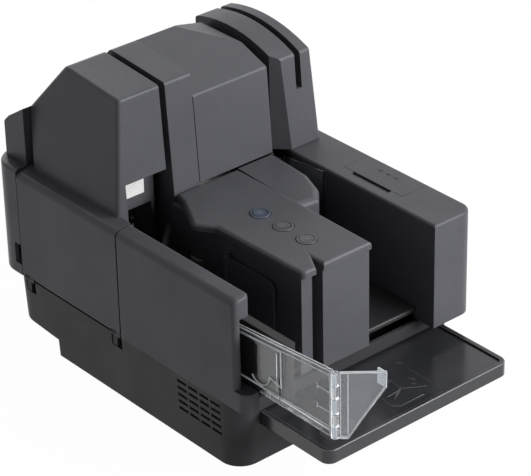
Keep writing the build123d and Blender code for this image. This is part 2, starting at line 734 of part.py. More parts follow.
def pocket_floor():
    """Floor of the exit pocket, with a raised front edge."""
    x = (block_right + clearance, deck_left - clearance)
    body = block(x, (0.0, tower_front - clearance), floor_range())
    return soften(body, Axis.X, floor_thick / 2, lambda c: c.Y < wall and c.Z > floor_z - seam)


def shaft_spots():
    """Every upright shaft that passes the chassis plate."""
    return [motor_spot, feed_spot, *drive_spots]


def track_floor():
    """Floor of the transport path, with holes for the drive shafts."""
    x = (idler_spots[0][0] - idler_radius, deck_left + wall + beyond)
    body = block(x, (tower_front, hood_rear - wall - beyond), floor_range())
    for spot in drive_spots:
        body -= column(spot, (0, rear_y), shaft_radius + beyond)
    return body


def chassis_range():
    """Z range of the chassis plate."""
    return (chassis_z, chassis_z + sheet)


def chassis_plate():
    """Steel plate that carries the floors, the motor and the shaft bearings."""
    x = (chassis_left, foot_width - overhang + beyond)
    body = block(x, (2 * wall, housing_depth - 2 * wall - sheet), chassis_range())
    body = soften(body, Axis.Z, chassis_corner, lambda c: True)
    for spot in shaft_spots():
        body -= column(spot, (0, rear_y), bearing_radius)
    for spot in post_spots():
        body -= column(spot, (0, rear_y), screw_radius)
    return body


def shaft_bushes():
    """Bronze bushes in the chassis plate, one round each drive and feed shaft."""
    z = (chassis_z - seam, chassis_z + sheet)
    return joined(*[column(spot, z, bearing_radius - press_gap) - column(spot, z, shaft_radius + shaft_fit)
                    for spot in (feed_spot, *drive_spots)])


def chassis_screws():
    """Screws that hold the chassis plate to the housing's posts."""
    top = chassis_z + sheet
    radius, height = screw_head
    shank = screw_radius - screw_gap
    return joined(*[column(spot, (top, top + height), radius) + column(spot, (top - screw_length, top), shank)
                    for spot in post_spots()])


# ---- Control block -------------------------------------------------------------------------------
def control_body():
    """Upright box under the control panel, with the finger notch and the feed roller's window."""
    z = (chassis_z + sheet, ledge_z - panel_thick)
    front = panel_front + panel_overhang
    points = [(block_wall_x, front), (notch_x[0], front), (notch_x[0], notch_back),
              (notch_x[1], notch_back), (notch_x[1], block_front), (block_right, block_front),
              (block_right, block_back), (block_wall_x, block_back)]
    face = outline(points)
    inner = offset(face, amount=-wall, kind=Kind.INTERSECTION)
    body = extrude(Pos(0, 0, z[0]) * face, z[1] - z[0]) - extrude(Pos(0, 0, z[0]) * inner, z[1] - z[0])
    body = soften(body, Axis.Z, block_round, lambda c: c.X > block_right - seam and c.Y < block_front + seam)
    body -= block((block_wall_x - beyond, block_wall_x + wall + beyond),
                  about(feed_spot[1], 2 * (roller_radius + window_gap)), roller_window())
    for height in (pusher_z[0] - ear, pusher_z[1]):
        ear_x = (pusher_x[0], block_wall_x + beyond)
        body += block(ear_x, about(pusher_axis[1], 2 * ear), (height, height + ear))
    return body - column(pusher_axis, (0, rear_y), hinge_pin + shaft_fit)


def panel_points():
    """Outline of the control panel with its notch and its funnel towards the feed slot."""
    right = block_right - seam
    return [(panel_left, panel_front), (notch_x[0], panel_front), (notch_x[1], notch_back),
            (notch_x[1], panel_front), (right, panel_front), (block_right, nose_y[1]),
            (block_right, block_back), *funnel[:3], (panel_left + funnel[3][0], funnel[3][1])]


def control_panel():
    """Thin top panel over the block, hollow below, with three button wells."""
    z = (ledge_z - panel_thick, ledge_z)
    face = outline(panel_points())
    body = extrude(Pos(0, 0, z[0]) * face, panel_thick)
    body = soften(body, Axis.Z, panel_corner, lambda c: c.X < funnel[0][0] + seam and c.Y < block_back - seam)
    body = fillet([e for e in body.faces().sort_by(Axis.Z)[-1].edges()], panel_round)
    inner = offset(face, amount=-wall, kind=Kind.INTERSECTION)
    body -= extrude(Pos(0, 0, z[0]) * inner, panel_thick - wall)
    for y in button_y:
        body -= column((button_x, y), (0, rear_y), button_radius + clearance)
    return body


def button(y):
    """Round push button with a dished face and a skirt under the panel."""
    low = ledge_z - wall - seam
    body = column((button_x, y), (low, ledge_z + button_proud), button_radius)
    body += column((button_x, y), (low - skirt[1], low), button_radius + skirt[0])
    return body - Pos(button_x, y, ledge_z + button_proud + button_dish - dish_depth) * Sphere(button_dish)


def button_board():
    """Small circuit board with a switch under each button."""
    low = ledge_z - panel_thick - board_drop
    body = block(board_x, board_y, (low, low + board_thick))
    side, height = switch_size
    for y in button_y:
        body += block(about(button_x, side), about(y, side), (low + board_thick, low + board_thick + height))
    return body


def exit_nose():
    """Hollow hump that guides documents out of the exit slot into the pocket."""
    side = block_right + clearance
    back = tower_front - 2 * seam
    points = [(side, nose_y[1]), (block_right + nose_x[0], nose_y[0]), (slot_right_x + nose_x[1], nose_y[2]),
              (slot_right_x + nose_x[2], nose_y[3]), (slot_right_x, nose_y[4]), (slot_right_x, back),
              (side, back)]
    face = outline(points)
    inner = offset(face, amount=-wall, kind=Kind.INTERSECTION)
    body = extrude(Pos(0, 0, floor_z) * face, ledge_z - floor_z)
    fall = [(back, ledge_z), (nose_y[0], nose_z), (0, nose_z), (0, rear_y), (back, rear_y)]
    body -= across(fall, wide)
    top = body.faces().sort_by(Axis.Z)[-1]
    rim = [e for e in top.edges() if e.center().X > side + beyond and e.center().Y < back - beyond]
    body = fillet(rim, nose_rim)
    return body - extrude(Pos(0, 0, floor_z) * inner, nose_z - wall - floor_z)


# ---- Hopper --------------------------------------------------------------------------------------
def hopper_liner():
    """Hollow side wall that the documents rest against."""
    y = (liner_front, side_seam_y - liner_wall)
    body = block(liner_x, y, (floor_z, liner_z))
    body = soften(body, Axis.Z, nose_round, lambda c: c.Y < liner_front + beyond)
    return body - block(around(liner_x, -liner_wall), around(y, -2 * liner_wall), (0, liner_z - liner_wall))


def feed_guide():
    """Slanting wall that leads the documents to the feed slot."""
    reach = slot_left[0] - clearance
    start = liner_x[1] + clearance
    back = tower_front - seam
    points = [(start, feed_guide_y[0]), (reach, feed_guide_y[1]), (reach, back), (reach - wall, back),
              (start, feed_guide_y[0] + wall + beyond)]
    return upright(points, (floor_z, feed_guide_top))


def pusher_plate():
    """Sprung plate that presses the documents against the liner."""
    body = block(pusher_x, (pusher_y[0], pusher_y[1] - seam), around(pusher_z, -clearance))
    body = soften(body, Axis.X, pusher_corner, lambda c: c.Y < pusher_y[0] + beyond)
    body += column(pusher_axis, around(pusher_z, -clearance), barrel)
    return body - column(pusher_axis, (0, rear_y), hinge_pin + shaft_fit)


# ---- Centre of the towers ------------------------------------------------------------------------
def centre_frame():
    """Fixed strip beside the feed slot, open to the right, with its roller and sensor windows."""
    x = (slot_left[1], strip_right - seam / 2)
    outer = tower_block(x, tower_rear, 0, floor_z)
    outer = soften(outer, Axis.X, strip_round, lambda c: c.Z > roof_z)
    inner = extrude(Plane.YZ.offset(x[0] + wall) * tower_profile(tower_rear, wall, chassis_z), x[1] - x[0])
    body = outer - inner - block(wide, (turn_y, rear_y), (0, roof_z))
    through = (x[0] - beyond, x[0] + wall + beyond)
    body -= block(through, about(drive_y, 2 * (roller_radius + beyond)), roller_window())
    return body - block(through, around(sensor_y, clearance), sensor_z(beyond))


def sensor_z(gap=0.0):
    """Range of Z that the image sensors fill."""
    return around((floor_z + wall, roof_z - 2 * wall), gap)


def inner_track():
    """Inner wall of the path round the turn and along the exit slot."""
    z = (floor_z, track_top)
    ring = column((turn_x, turn_y), z, turn_inner) - column((turn_x, turn_y), z, turn_inner - wall)
    body = ring & block((0, rear_y), (turn_y, rear_y), z)
    body += block((slot_right_x - wall, slot_right_x), (tower_front, turn_y), z)
    return body - block((slot_right_x - wall - beyond, slot_right_x + beyond),
                        about(drive_y, 2 * (roller_radius + beyond)), roller_window())


def outer_track():
    """Outer wall of the path round the turn and along the exit slot, with the idler's arms."""
    z = (floor_z, ledge_z - outer_track_drop)
    ring = column((turn_x, turn_y), z, turn_outer + sheet) - column((turn_x, turn_y), z, turn_outer)
    body = ring & block((0, rear_y), (turn_y, rear_y), z)
    right = turn_x + turn_outer
    body += block((right, right + sheet), (tower_front, turn_y), (floor_z, deck_z - wall - clearance))
    through = (right - beyond, right + sheet + beyond)
    body -= block(through, about(drive_y, 2 * (idler_radius + arm_thick)), roller_window())
    return idler_bearings(body, idler_spots[1], (right, idler_spots[1][0] + arm_reach))


def idler(spot):
    """Free-running roller with its own stub shaft, opposite a drive roller."""
    body = column(spot, (idler_arms[0] - beyond, idler_arms[1] + arm_thick + beyond), shaft_radius)
    return body + column(spot, about(roller_z, roller_height), idler_radius)


def centre_cover():
    """Hinged centre cover: leaning front, top that rises to the crest, and slot wall."""
    x = (strip_right + seam / 2, slot_right_x)
    low = ledge_z + seam
    outer = tower_block(x, tower_rear, 0, low)
    slope = [(0, centre_front_z), (front_y(centre_front_z), centre_front_z), (crest_y, tower_z),
             (tower_rear, tower_z), (tower_rear, rear_y), (0, rear_y)]
    outer -= across(slope, (0, rear_y))
    drop = [(x[1] - centre_drop, rear_y), (x[1] - centre_drop, tower_z), (x[1], centre_right_z),
            (x[1] + beyond, centre_right_z), (x[1] + beyond, rear_y)]
    outer -= along(drop, (0, rear_y))
    front = front_y(centre_front_z) + beyond
    outer = soften(outer, Axis.X, tower_round, lambda c: c.Y < front and c.Z > throat_z)
    side = [e for e in outer.edges() if abs(e.center().X - x[1]) < tower_round and e.center().Y < turn_y
            and abs(e.tangent_at(0.5).X) < 0.9 and e.center().Z > low + beyond]
    outer = fillet(side, strip_round)
    inner = outer & (Pos(0, wall, -wall) * outer)
    inner = inner & (Pos(-wall, 0, -wall) * outer) & (Pos(wall, 0, -wall) * outer)
    inner += Pos(0, 0, low - throat_z) * (inner & block(wide, wide, (low, roof_z)))
    inner -= block(wide, (tower_rear - wall, rear_y), wide)
    body = outer - inner
    body -= block((x[1] - wall - beyond, x[1] + beyond), (turn_y, rear_y), (0, roof_z - 2 * wall))
    body -= block(wide, (tower_rear - fin_chamfer, rear_y), (0, centre_hinge[1]))
    for centre, side in zip(centre_hinge_x, (-1, 1)):
        body += cross_barrel(centre, barrel, barrel_length)
        body -= cross_barrel(bracket_x(centre, side), lug_radius + clearance, sheet + 2 * clearance)
        body -= cross_barrel(centre, hinge_pin + shaft_fit, 2 * barrel_length)
    return body


def cross_barrel(x, radius, length):
    """Cylinder along X about the centre cover's axis, centred on an x."""
    return Pos(x, centre_hinge[0], centre_hinge[1]) * Rot(0, 90, 0) * Cylinder(radius, length)


def bracket_x(centre, side):
    """X of the bracket beside one of the centre cover's hinges."""
    return centre - side * (barrel_length / 2 + beyond)


# ---- Right tower ---------------------------------------------------------------------------------
def right_tower_profile(inset=0.0):
    """Side outline (y, z) of the right tower, with an arched top."""
    low = deck_z + seam
    shoulder = right_tower_z - right_shoulder
    tail = right_tower_z - right_tail
    crown = (right_crown_y, right_tower_z)
    arch = ThreePointArc((front_y(shoulder), shoulder), crown, (right_tower_rear, tail))
    sides = Polyline((right_tower_rear, tail), (right_tower_rear, low), (front_y(low), low),
                     (front_y(shoulder), shoulder))
    face = make_face([arch, *sides.edges()])
    face = fillet([v for v in face.vertices() if v.Y > right_crown_y], right_round)
    return offset(face, amount=-inset, kind=Kind.INTERSECTION) if inset else face


def right_tower_block(inset=0.0):
    """Right tower as a solid, with its leaning outer face and chamfered slot corner."""
    x = (fin_left + inset, right_tower_x - inset)
    body = extrude(Plane.YZ.offset(x[0]) * right_tower_profile(inset), x[1] - x[0])
    lean = [(x[1], 0), (x[1], deck_z + beyond), (x[1] - right_tower_lean, right_tower_z),
            (x[1] - right_tower_lean, rear_y), (rear_y, rear_y), (rear_y, 0)]
    front = tower_front + inset
    corner = [(x[0] - fin_chamfer, 0), (x[0] + fin_chamfer, 0), (x[0] + fin_chamfer, front),
              (x[0], front + fin_chamfer), (x[0] - fin_chamfer, front + fin_chamfer)]
    return body - along(lean, (0, rear_y)) - upright(corner, (0, rear_y))


def rounded_right_tower():
    """Right tower's block with its long outer edges rounded."""
    body = right_tower_block()
    outside = [e for e in body.edges() if e.center().X > swipe_slot[1] + beyond and e.length > right_round
               and e.center().Z > deck_z + right_round and abs(e.center().Y - right_tower_rear) > beyond
               and not (abs(e.tangent_at(0.5).X) > 0.9)]
    return fillet(outside, right_edge)


def right_cover():
    """Hinged right tower with the card slot cut along it."""
    lining = block(around(swipe_slot, swipe_lining), (0, rear_y), (swipe_floor_z - swipe_lining, rear_y))
    body = rounded_right_tower() - (right_tower_block(wall) - lining)
    body -= block(swipe_slot, (0, rear_y), (swipe_floor_z, rear_y))
    head = card_head_box(clearance)
    body -= block((swipe_slot[1] - beyond, swipe_slot[1] + swipe_lining + beyond), head[1], head[2])
    for y in right_hinge_y:
        arm_x = (right_tower_x - beyond, right_hinge[0])
        arm = block(arm_x, (y, y + barrel_length), about(right_hinge[1], barrel))
        body += arm + hinge_barrel(right_hinge, y, barrel_length, barrel)
        body -= pin_bore(right_hinge, y)
    return body


def card_head_box(gap):
    """Ranges that the card stripe head fills beside the card slot."""
    face = swipe_slot[1] + sensor_gap
    return ((face, face + head_depth), around(head_y, gap), around(head_z, gap))


def card_head():
    """Stripe reading head with a rounded face, set into the card slot's wall."""
    body = block(*card_head_box(0))
    return soften(body, Axis.Z, head_round, lambda c: c.X < swipe_slot[1] + beyond)


# ---- Clear guide with its wing -------------------------------------------------------------------
def knuckle_spans(first):
    """Z range of every second knuckle of the wing's hinge, starting with the first or the second."""
    spans = list(zip(knuckle_z[:-1], knuckle_z[1:]))[first::2]
    return [around(span, -knuckle_gap / 2) for span in spans]


def clear_guide():
    """Clear side plate that slides out of the side cover, with a raised frame and hinge knuckles."""
    low, high = guide_z
    front = guide_front + knuckle_gap
    body = across([(front, low), (guide_back, low), (guide_back, high - guide_slope), (front, high)], guide_x)
    frame = across(frame_points(0), (guide_x[0] - frame_proud, guide_x[0]))
    body += frame - across(frame_points(frame_edge), wide)
    body += block((guide_x[0], guide_x[1] + flange[0]), (front, flange_back), (low, low + flange[1]))
    for span in knuckle_spans(1):
        body += column(wing_axis, span, knuckle_radius)
        body += block(guide_x, (wing_axis[1], guide_front + beyond), span)
    return body - column(wing_axis, (0, rear_y), pin_radius + shaft_fit)


def frame_points(inset):
    """Outline (y, z) of the guide's raised frame."""
    return [(frame_front + inset, frame_low + inset), (frame_back - inset, frame_low + inset),
            (frame_back - inset, frame_top[1] - inset), (frame_front + inset, frame_top[0] - inset)]


def guide_wing():
    """Clear flared wing with a slanting lower edge, hinged on the front of the guide."""
    low = guide_z[0] + knuckle_gap
    root = -knuckle_radius - seam
    points = [(root, low), (-wing_root, low), (-wing_length, wing_tip_z), (-wing_length, guide_z[1]),
              (root, guide_z[1] - knuckle_gap)]
    plate = across(points, about(0, wing_thick))
    for span in knuckle_spans(0):
        plate += block(about(0, wing_thick), (root - seam, 0), span)
    body = Pos(wing_axis[0], wing_axis[1], 0) * Rot(0, 0, wing_angle) * plate
    for span in knuckle_spans(0):
        body += column(wing_axis, span, knuckle_radius)
    return body - column(wing_axis, (0, rear_y), pin_radius + shaft_fit)


def wing_pin():
    """Pin of the wing's hinge."""
    return column(wing_axis, around((knuckle_z[0], knuckle_z[-1]), -seam), pin_radius)


def guide_tongue():
    """Small floor that carries the documents' front end, fixed to the clear guide."""
    right = liner_x[1] + tongue_reach
    bar_back = liner_front - guide_travel - beyond
    low = floor_z + tongue_lift
    front = guide_front + beyond
    bar = block((guide_x[0], right), (front, bar_back), (guide_z[0] - tongue_thick, guide_z[0]))
    body = block((liner_x[1] + tongue_lift, right), (front, liner_front - wall), (low, low + tongue_thick))
    return bar + soften(body, Axis.Z, tongue_thick / 2, lambda c: c.X > right - beyond and c.Y > bar_back)


def guide_rail():
    """Grooved rail that the clear guide slides in."""
    groove = (guide_x[0] - beyond, guide_x[1] + clearance)
    above = (guide_z[0] - clearance, rear_y)
    body = block(around(groove, rail_wall), (2 * wall, post_y[0] - post_radius),
                 (chassis_z + sheet, guide_z[0] + wall))
    body -= block(groove, (0, post_y[0]), above)
    flange_end = flange_back + guide_travel + 2 * beyond
    return body - block((groove[0], groove[1] + 2 * rail_wall), (0, flange_end), above)


# ---- Eject tray ----------------------------------------------------------------------------------
def tray_plan(inset, corner):
    """Outline face of the tray, rounded at its front corners."""
    face = outline(rectangle((tray_x[0] + inset, tray_x[1] - inset), (tray_front + inset, tray_back)))
    return fillet([v for v in face.vertices() if v.Y < 0], corner)


def eject_tray():
    """Sliding tray with a raised rim, a recessed floor and a hollow underside."""
    z = tray_z
    body = extrude(Pos(0, 0, z[0]) * tray_plan(0, tray_corner), z[1] - z[0])
    rim_edges = [e for e in body.faces().sort_by(Axis.Z)[-1].edges() if e.center().Y < tray_back - beyond]
    body = fillet(rim_edges, tray_round)
    body -= extrude(Pos(0, 0, z[1] - tray_recess) * tray_plan(tray_rim, tray_corner - tray_rim), wall)
    under = z[1] - z[0] - tray_recess - tray_floor
    return body - extrude(Pos(0, 0, z[0]) * tray_plan(wall, tray_corner - wall), under)


def tray_rails():
    """Two rails on the housing's floor that the tray slides on."""
    z = (housing_floor, tray_z[0] - clearance)
    lefts = (tray_x[0] + rail_inset, tray_x[1] - rail_inset - rail_width)
    return joined(*[block((x, x + rail_width), rail_y, z) for x in lefts])


# ---- Transport drive -----------------------------------------------------------------------------
def pulley(spot, radius):
    """Belt pulley with a rim at each end."""
    body = column(spot, pulley_z, radius)
    for low in (pulley_z[0] - pulley_rim, pulley_z[1]):
        body += column(spot, (low, low + pulley_rim), radius + belt_thick + pulley_rim)
    return body


def drive_shaft(spot):
    """Steel shaft with its pulley at the foot."""
    top = bearing_plate_z + sheet + wall
    return column(spot, (pulley_z[0] - pulley_rim, top), shaft_radius) + pulley(spot, pulley_radius)


def roller_sleeve(spot):
    """Rubber sleeve on a drive or feed shaft."""
    sleeve = column(spot, about(roller_z, roller_height), roller_radius)
    return sleeve - column(spot, (0, rear_y), shaft_radius)


def motor_pulley():
    """Small pulley on the motor's shaft."""
    return pulley(motor_spot, motor_pulley_radius) - column(motor_spot, motor_shaft_z(), motor_shaft)


def motor_shaft_z():
    """Z range of the motor's shaft under the chassis plate."""
    return (belt_z - beyond, chassis_z + sheet)


def drive_motor():
    """Round motor on the chassis plate, with its shaft down through the plate."""
    foot = chassis_z + sheet
    radius, height = motor_size
    body = column(motor_spot, (foot, foot + height), radius)
    body = fillet([e for e in body.edges() if e.center().Z > foot + height - beyond], sheet)
    body += column(motor_spot, (chassis_z - seam, foot), bearing_radius - clearance)
    return body + column(motor_spot, motor_shaft_z(), motor_shaft - shaft_fit)


def timing_belt():
    """Belt that runs round the motor, feed and both drive pulleys."""
    def loop(extra):
        circles = [Pos(x, y, 0) * Edge.make_circle(radius + extra) for x, y, radius in belt_wheels()]
        return make_hull(circles)
    low = belt_z - belt_width / 2
    outer = extrude(Pos(0, 0, low) * loop(belt_gap + belt_thick), belt_width)
    return outer - extrude(Pos(0, 0, low) * loop(belt_gap), belt_width)


def belt_wheels():
    """Centre and radius of each pulley that the belt goes round."""
    wheels = [(spot[0], spot[1], pulley_radius) for spot in (feed_spot, *drive_spots)]
    return wheels + [(motor_spot[0], motor_spot[1], motor_pulley_radius)]


def bearing_plates():
    """Upper steel plates that hold the tops of the feed shaft and the two drive shafts."""
    z = (bearing_plate_z, bearing_plate_z + sheet)
    reach = 2 * (roller_radius + beyond)
    drive = block((slot_left[1] + wall, slot_right_x - wall), about(drive_y, reach), z)
    feed = block((block_wall_x + wall, feed_spot[0] + roller_radius), about(feed_spot[1], reach), z)
    for spot in drive_spots:
        drive -= column(spot, (0, rear_y), shaft_radius + shaft_fit)
    return joined(drive, feed - column(feed_spot, (0, rear_y), shaft_radius + shaft_fit))


# ---- Reading heads, boards and small pieces ------------------------------------------------------
def image_sensor(face_x, side):
    """Line sensor housing whose glass face lies in a slot wall."""
    x = sorted((face_x, face_x + side * sensor_depth))
    return block(x, sensor_y, sensor_z())


def magnetic_head():
    """Head that reads the magnetic line of a cheque."""
    x = slot_left[0] - sensor_gap
    body = block((x - magnet_depth, x), magnet_y, magnet_z)
    return soften(body, Axis.Z, head_round, lambda c: c.X > x - beyond)


def main_board():
    """Control board under the tray, on four stand-offs, with its chips and capacitors."""
    z = housing_floor + standoff[1]
    body = block(main_board_x, main_board_y, (z, z + board_thick))
    for x in around(main_board_x, -standoff[0] * 2):
        for y in around(main_board_y, -standoff[0] * 2):
            body += column((x, y), (housing_floor, z), standoff[0])
    top = z + board_thick
    for x, y, width, depth, height in chips:
        chip_x = about(main_board_x[0] + x, width)
        body += block(chip_x, about(main_board_y[0] + y, depth), (top, top + height))
    for x in capacitor_x:
        body += column((main_board_x[0] + x, sum(main_board_y) / 2), (top, top + capacitor[1]), capacitor[0])
    return body


def ink_cartridge():
    """Endorser cartridge in the well under the hatch."""
    well_x, well_y, well_z = well_ranges()
    x = around(well_x, -cartridge_gap[0])
    front = well_y[0] + cartridge_gap[1]
    top = deck_z - cartridge_drop
    body = block(x, (front, well_y[1] - cartridge_gap[2]), (well_z[0], top))
    body = soften(body, Axis.Z, cartridge_round, lambda c: True)
    inset, step, length, height = cartridge_grip
    return body + block(around(x, -inset), (front + step, front + step + length), (top, top + height))


def feed_label():
    """Bare white plate under the feed throat."""
    y = tower_front + throat_depth
    width, thick = label_size
    return block((label_x, label_x + width), (y - thick, y), (ledge_z + seam, throat_z - beyond))


def exit_deflector():
    """Clear film beside the exit slot that turns the documents into the pocket."""
    back = tower_front - seam
    left = turn_x + turn_outer + wall
    right = deck_left - 2 * beyond
    points = [(left, back), (left + film, back), (right + film, nose_y[3]), (right, nose_y[3])]
    return upright(points, (floor_z, deck_z - beyond))


def left_pins():
    """Hinge pins of the left cover."""
    length = 2 * barrel_length
    return joined(*[hinge_barrel(left_hinge, y + clearance, length, hinge_pin) for y in left_hinge_y])


def right_pins():
    """Hinge pins of the right tower."""
    length = 2 * barrel_length
    return joined(*[hinge_barrel(right_hinge, y + clearance, length, hinge_pin) for y in right_hinge_y])


def hatch_pins():
    """Stub pins of the hatch, let into the deck at both its ends."""
    length = 2 * (hatch_pin_length - beyond)
    return joined(*[hinge_barrel(hatch_hinge, y - length / 2, length, hinge_pin) for y in hatch_y])


def centre_hinge_bracket():
    """Steel bracket with two lugs and pins that carries the centre cover, on the inner track."""
    y = (centre_hinge[0] - lug_radius, centre_hinge[0] - press_gap)
    base_z = track_top
    body = block((strip_right + 2 * wall, centre_hinge_x[1] - arm_thick), (y[0] - bracket_foot, y[1]),
                 (base_z, base_z + sheet))
    for centre, side in zip(centre_hinge_x, (-1, 1)):
        x = bracket_x(centre, side)
        body += block((x - sheet / 2, x + sheet / 2), y, (base_z, centre_hinge[1]))
        body += cross_barrel(x, lug_radius, sheet)
        body += cross_barrel(centre, hinge_pin, 2 * barrel_length - beyond)
    return body


def pusher_pin():
    """Pivot pin of the pusher plate."""
    return column(pusher_axis, around(pusher_z, ear - seam), hinge_pin)


def sub_parts():
    """Every node of the scanner by name."""
    sensors = ((slot_left[1] + sensor_gap, 1), (slot_left[0] - sensor_gap, -1))
    nodes = {
        "lower_housing": lower_housing(), "rubber_feet": rubber_feet(), "power_inlet": power_inlet(),
        "usb_port": usb_port(), "hopper_side_cover": hopper_side_cover(), "rear_cover": rear_cover(),
        "rear_hood": rear_hood(), "right_deck": right_deck(), "hopper_floor": hopper_floor(),
        "pocket_floor": pocket_floor(), "track_floor": track_floor(), "chassis_plate": chassis_plate(),
        "shaft_bushes": shaft_bushes(), "chassis_screws": chassis_screws(), "control_body": control_body(),
        "control_panel": control_panel(), "button_board": button_board(), "exit_nose": exit_nose(),
        "hopper_liner": hopper_liner(), "feed_guide": feed_guide(), "centre_frame": centre_frame(),
        "inner_track": inner_track(), "outer_track": outer_track(), "tray_rails": tray_rails(),
        "guide_rail": guide_rail(), "drive_motor": drive_motor(), "timing_belt": timing_belt(),
        "bearing_plates": bearing_plates(), "main_board": main_board(), "ink_cartridge": ink_cartridge(),
        "exit_deflector": exit_deflector(), "left_hinge_pins": left_pins(), "right_hinge_pins": right_pins(),
        "hatch_pins": hatch_pins(), "centre_hinge_bracket": centre_hinge_bracket(),
        "pusher_pin": pusher_pin(),
        "inner_image_sensor": image_sensor(*sensors[0]), "left_cover": left_cover(),
        "outer_image_sensor": image_sensor(*sensors[1]), "magnetic_head": magnetic_head(),
        "feed_label": feed_label(),
        "left_idler": idler(idler_spots[0]), "right_idler": idler(idler_spots[1]),
        "right_cover": right_cover(), "card_head": card_head(), "centre_cover": centre_cover(),
        "hatch": hatch(), "eject_tray": eject_tray(), "clear_guide": clear_guide(),
        "guide_tongue": guide_tongue(), "guide_wing": guide_wing(), "wing_pin": wing_pin(),
        "pusher_plate": pusher_plate(), "motor_pulley": motor_pulley(),
    }
    for name, y in zip(("power_button", "eject_button", "start_button"), button_y):
        nodes[name] = button(y)
    return nodes


def drive_parts():
    """Shafts and rubber sleeves of the three driven rollers, as one node each."""
    spots = {"feed_roller": feed_spot, "left_drive_roller": drive_spots[0],
             "right_drive_roller": drive_spots[1]}
    return {name: joined(drive_shaft(spot), roller_sleeve(spot)) for name, spot in spots.items()}


os.makedirs("parts", exist_ok=True)
for name, body in {**sub_parts(), **drive_parts()}.items():
    export_step(to_origin * body, f"parts/{name}.step")
    box = (to_origin * body).bounding_box()
    print(f"{name:24s} solids {len(body.solids())}  x {box.min.X:8.2f} {box.max.X:8.2f}"
          f"  y {box.min.Y:8.2f} {box.max.Y:8.2f}  z {box.min.Z:7.2f} {box.max.Z:7.2f}")
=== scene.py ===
"""Looks of a desktop cheque scanner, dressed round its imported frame.

Lengths in the sizes below are millimetres in the machine's own directions: X runs right from the
left edge of its foot, Y runs back from the front of its foot and Z runs up from its underside.
``place`` turns them into the frame's metres and ``Extent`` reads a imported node's size back in them.
Every new mesh is a section carried along a path or a profile turned about an upright axis, and
every finish is a procedural node material in Object coordinates.
"""
import logging
import math
from dataclasses import dataclass
from enum import Enum
from typing import ClassVar, Optional, Sequence

import bpy
import numpy as np
from mathutils import Matrix, Vector


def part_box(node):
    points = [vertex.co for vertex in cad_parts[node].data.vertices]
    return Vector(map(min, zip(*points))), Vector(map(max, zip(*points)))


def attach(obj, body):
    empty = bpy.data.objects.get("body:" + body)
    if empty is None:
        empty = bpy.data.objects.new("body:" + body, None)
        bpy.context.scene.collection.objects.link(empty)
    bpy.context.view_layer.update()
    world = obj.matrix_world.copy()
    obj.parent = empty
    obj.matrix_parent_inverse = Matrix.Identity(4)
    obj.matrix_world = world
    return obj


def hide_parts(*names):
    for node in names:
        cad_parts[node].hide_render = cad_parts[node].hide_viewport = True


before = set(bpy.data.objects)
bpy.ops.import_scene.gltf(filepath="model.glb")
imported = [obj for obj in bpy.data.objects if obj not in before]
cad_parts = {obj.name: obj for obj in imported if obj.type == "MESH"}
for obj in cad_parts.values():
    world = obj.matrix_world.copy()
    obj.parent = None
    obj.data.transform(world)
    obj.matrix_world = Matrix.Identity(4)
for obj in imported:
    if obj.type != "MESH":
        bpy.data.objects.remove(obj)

logging.basicConfig(level=logging.INFO, format="%(message)s")
log = logging.getLogger("scanner")

Point = Sequence[float]
Colour = tuple[float, float, float]

ORIGIN = np.array([84.5, 66.2255, -1.5])
MM = 0.001
UP = (0.0, 0.0, 1.0)
BEVEL_SAMPLES = 6
CREASE_DEG = 35.0


def place(points: np.ndarray) -> np.ndarray:
    """Move machine millimetres into the frame's metres.

    Args:
        points: array whose last axis is x, y, z in millimetres.

    Returns:
        The same points in metres about the frame's origin.
    """
    return (np.asarray(points, dtype=float) - ORIGIN) * MM


@dataclass(frozen=True)
class Extent:
    """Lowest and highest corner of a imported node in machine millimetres."""

    low: np.ndarray
    high: np.ndarray

    @classmethod
    def of(cls, node: str) -> "Extent":
        """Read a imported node.

        Args:
            node: the node's name.

        Returns:
            Its extent at rest.
        """
        low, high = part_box(node)
        return cls(np.array(low) / MM + ORIGIN, np.array(high) / MM + ORIGIN)

    @property
    def middle(self) -> np.ndarray:
        """Centre of the extent."""
        return (self.low + self.high) / 2


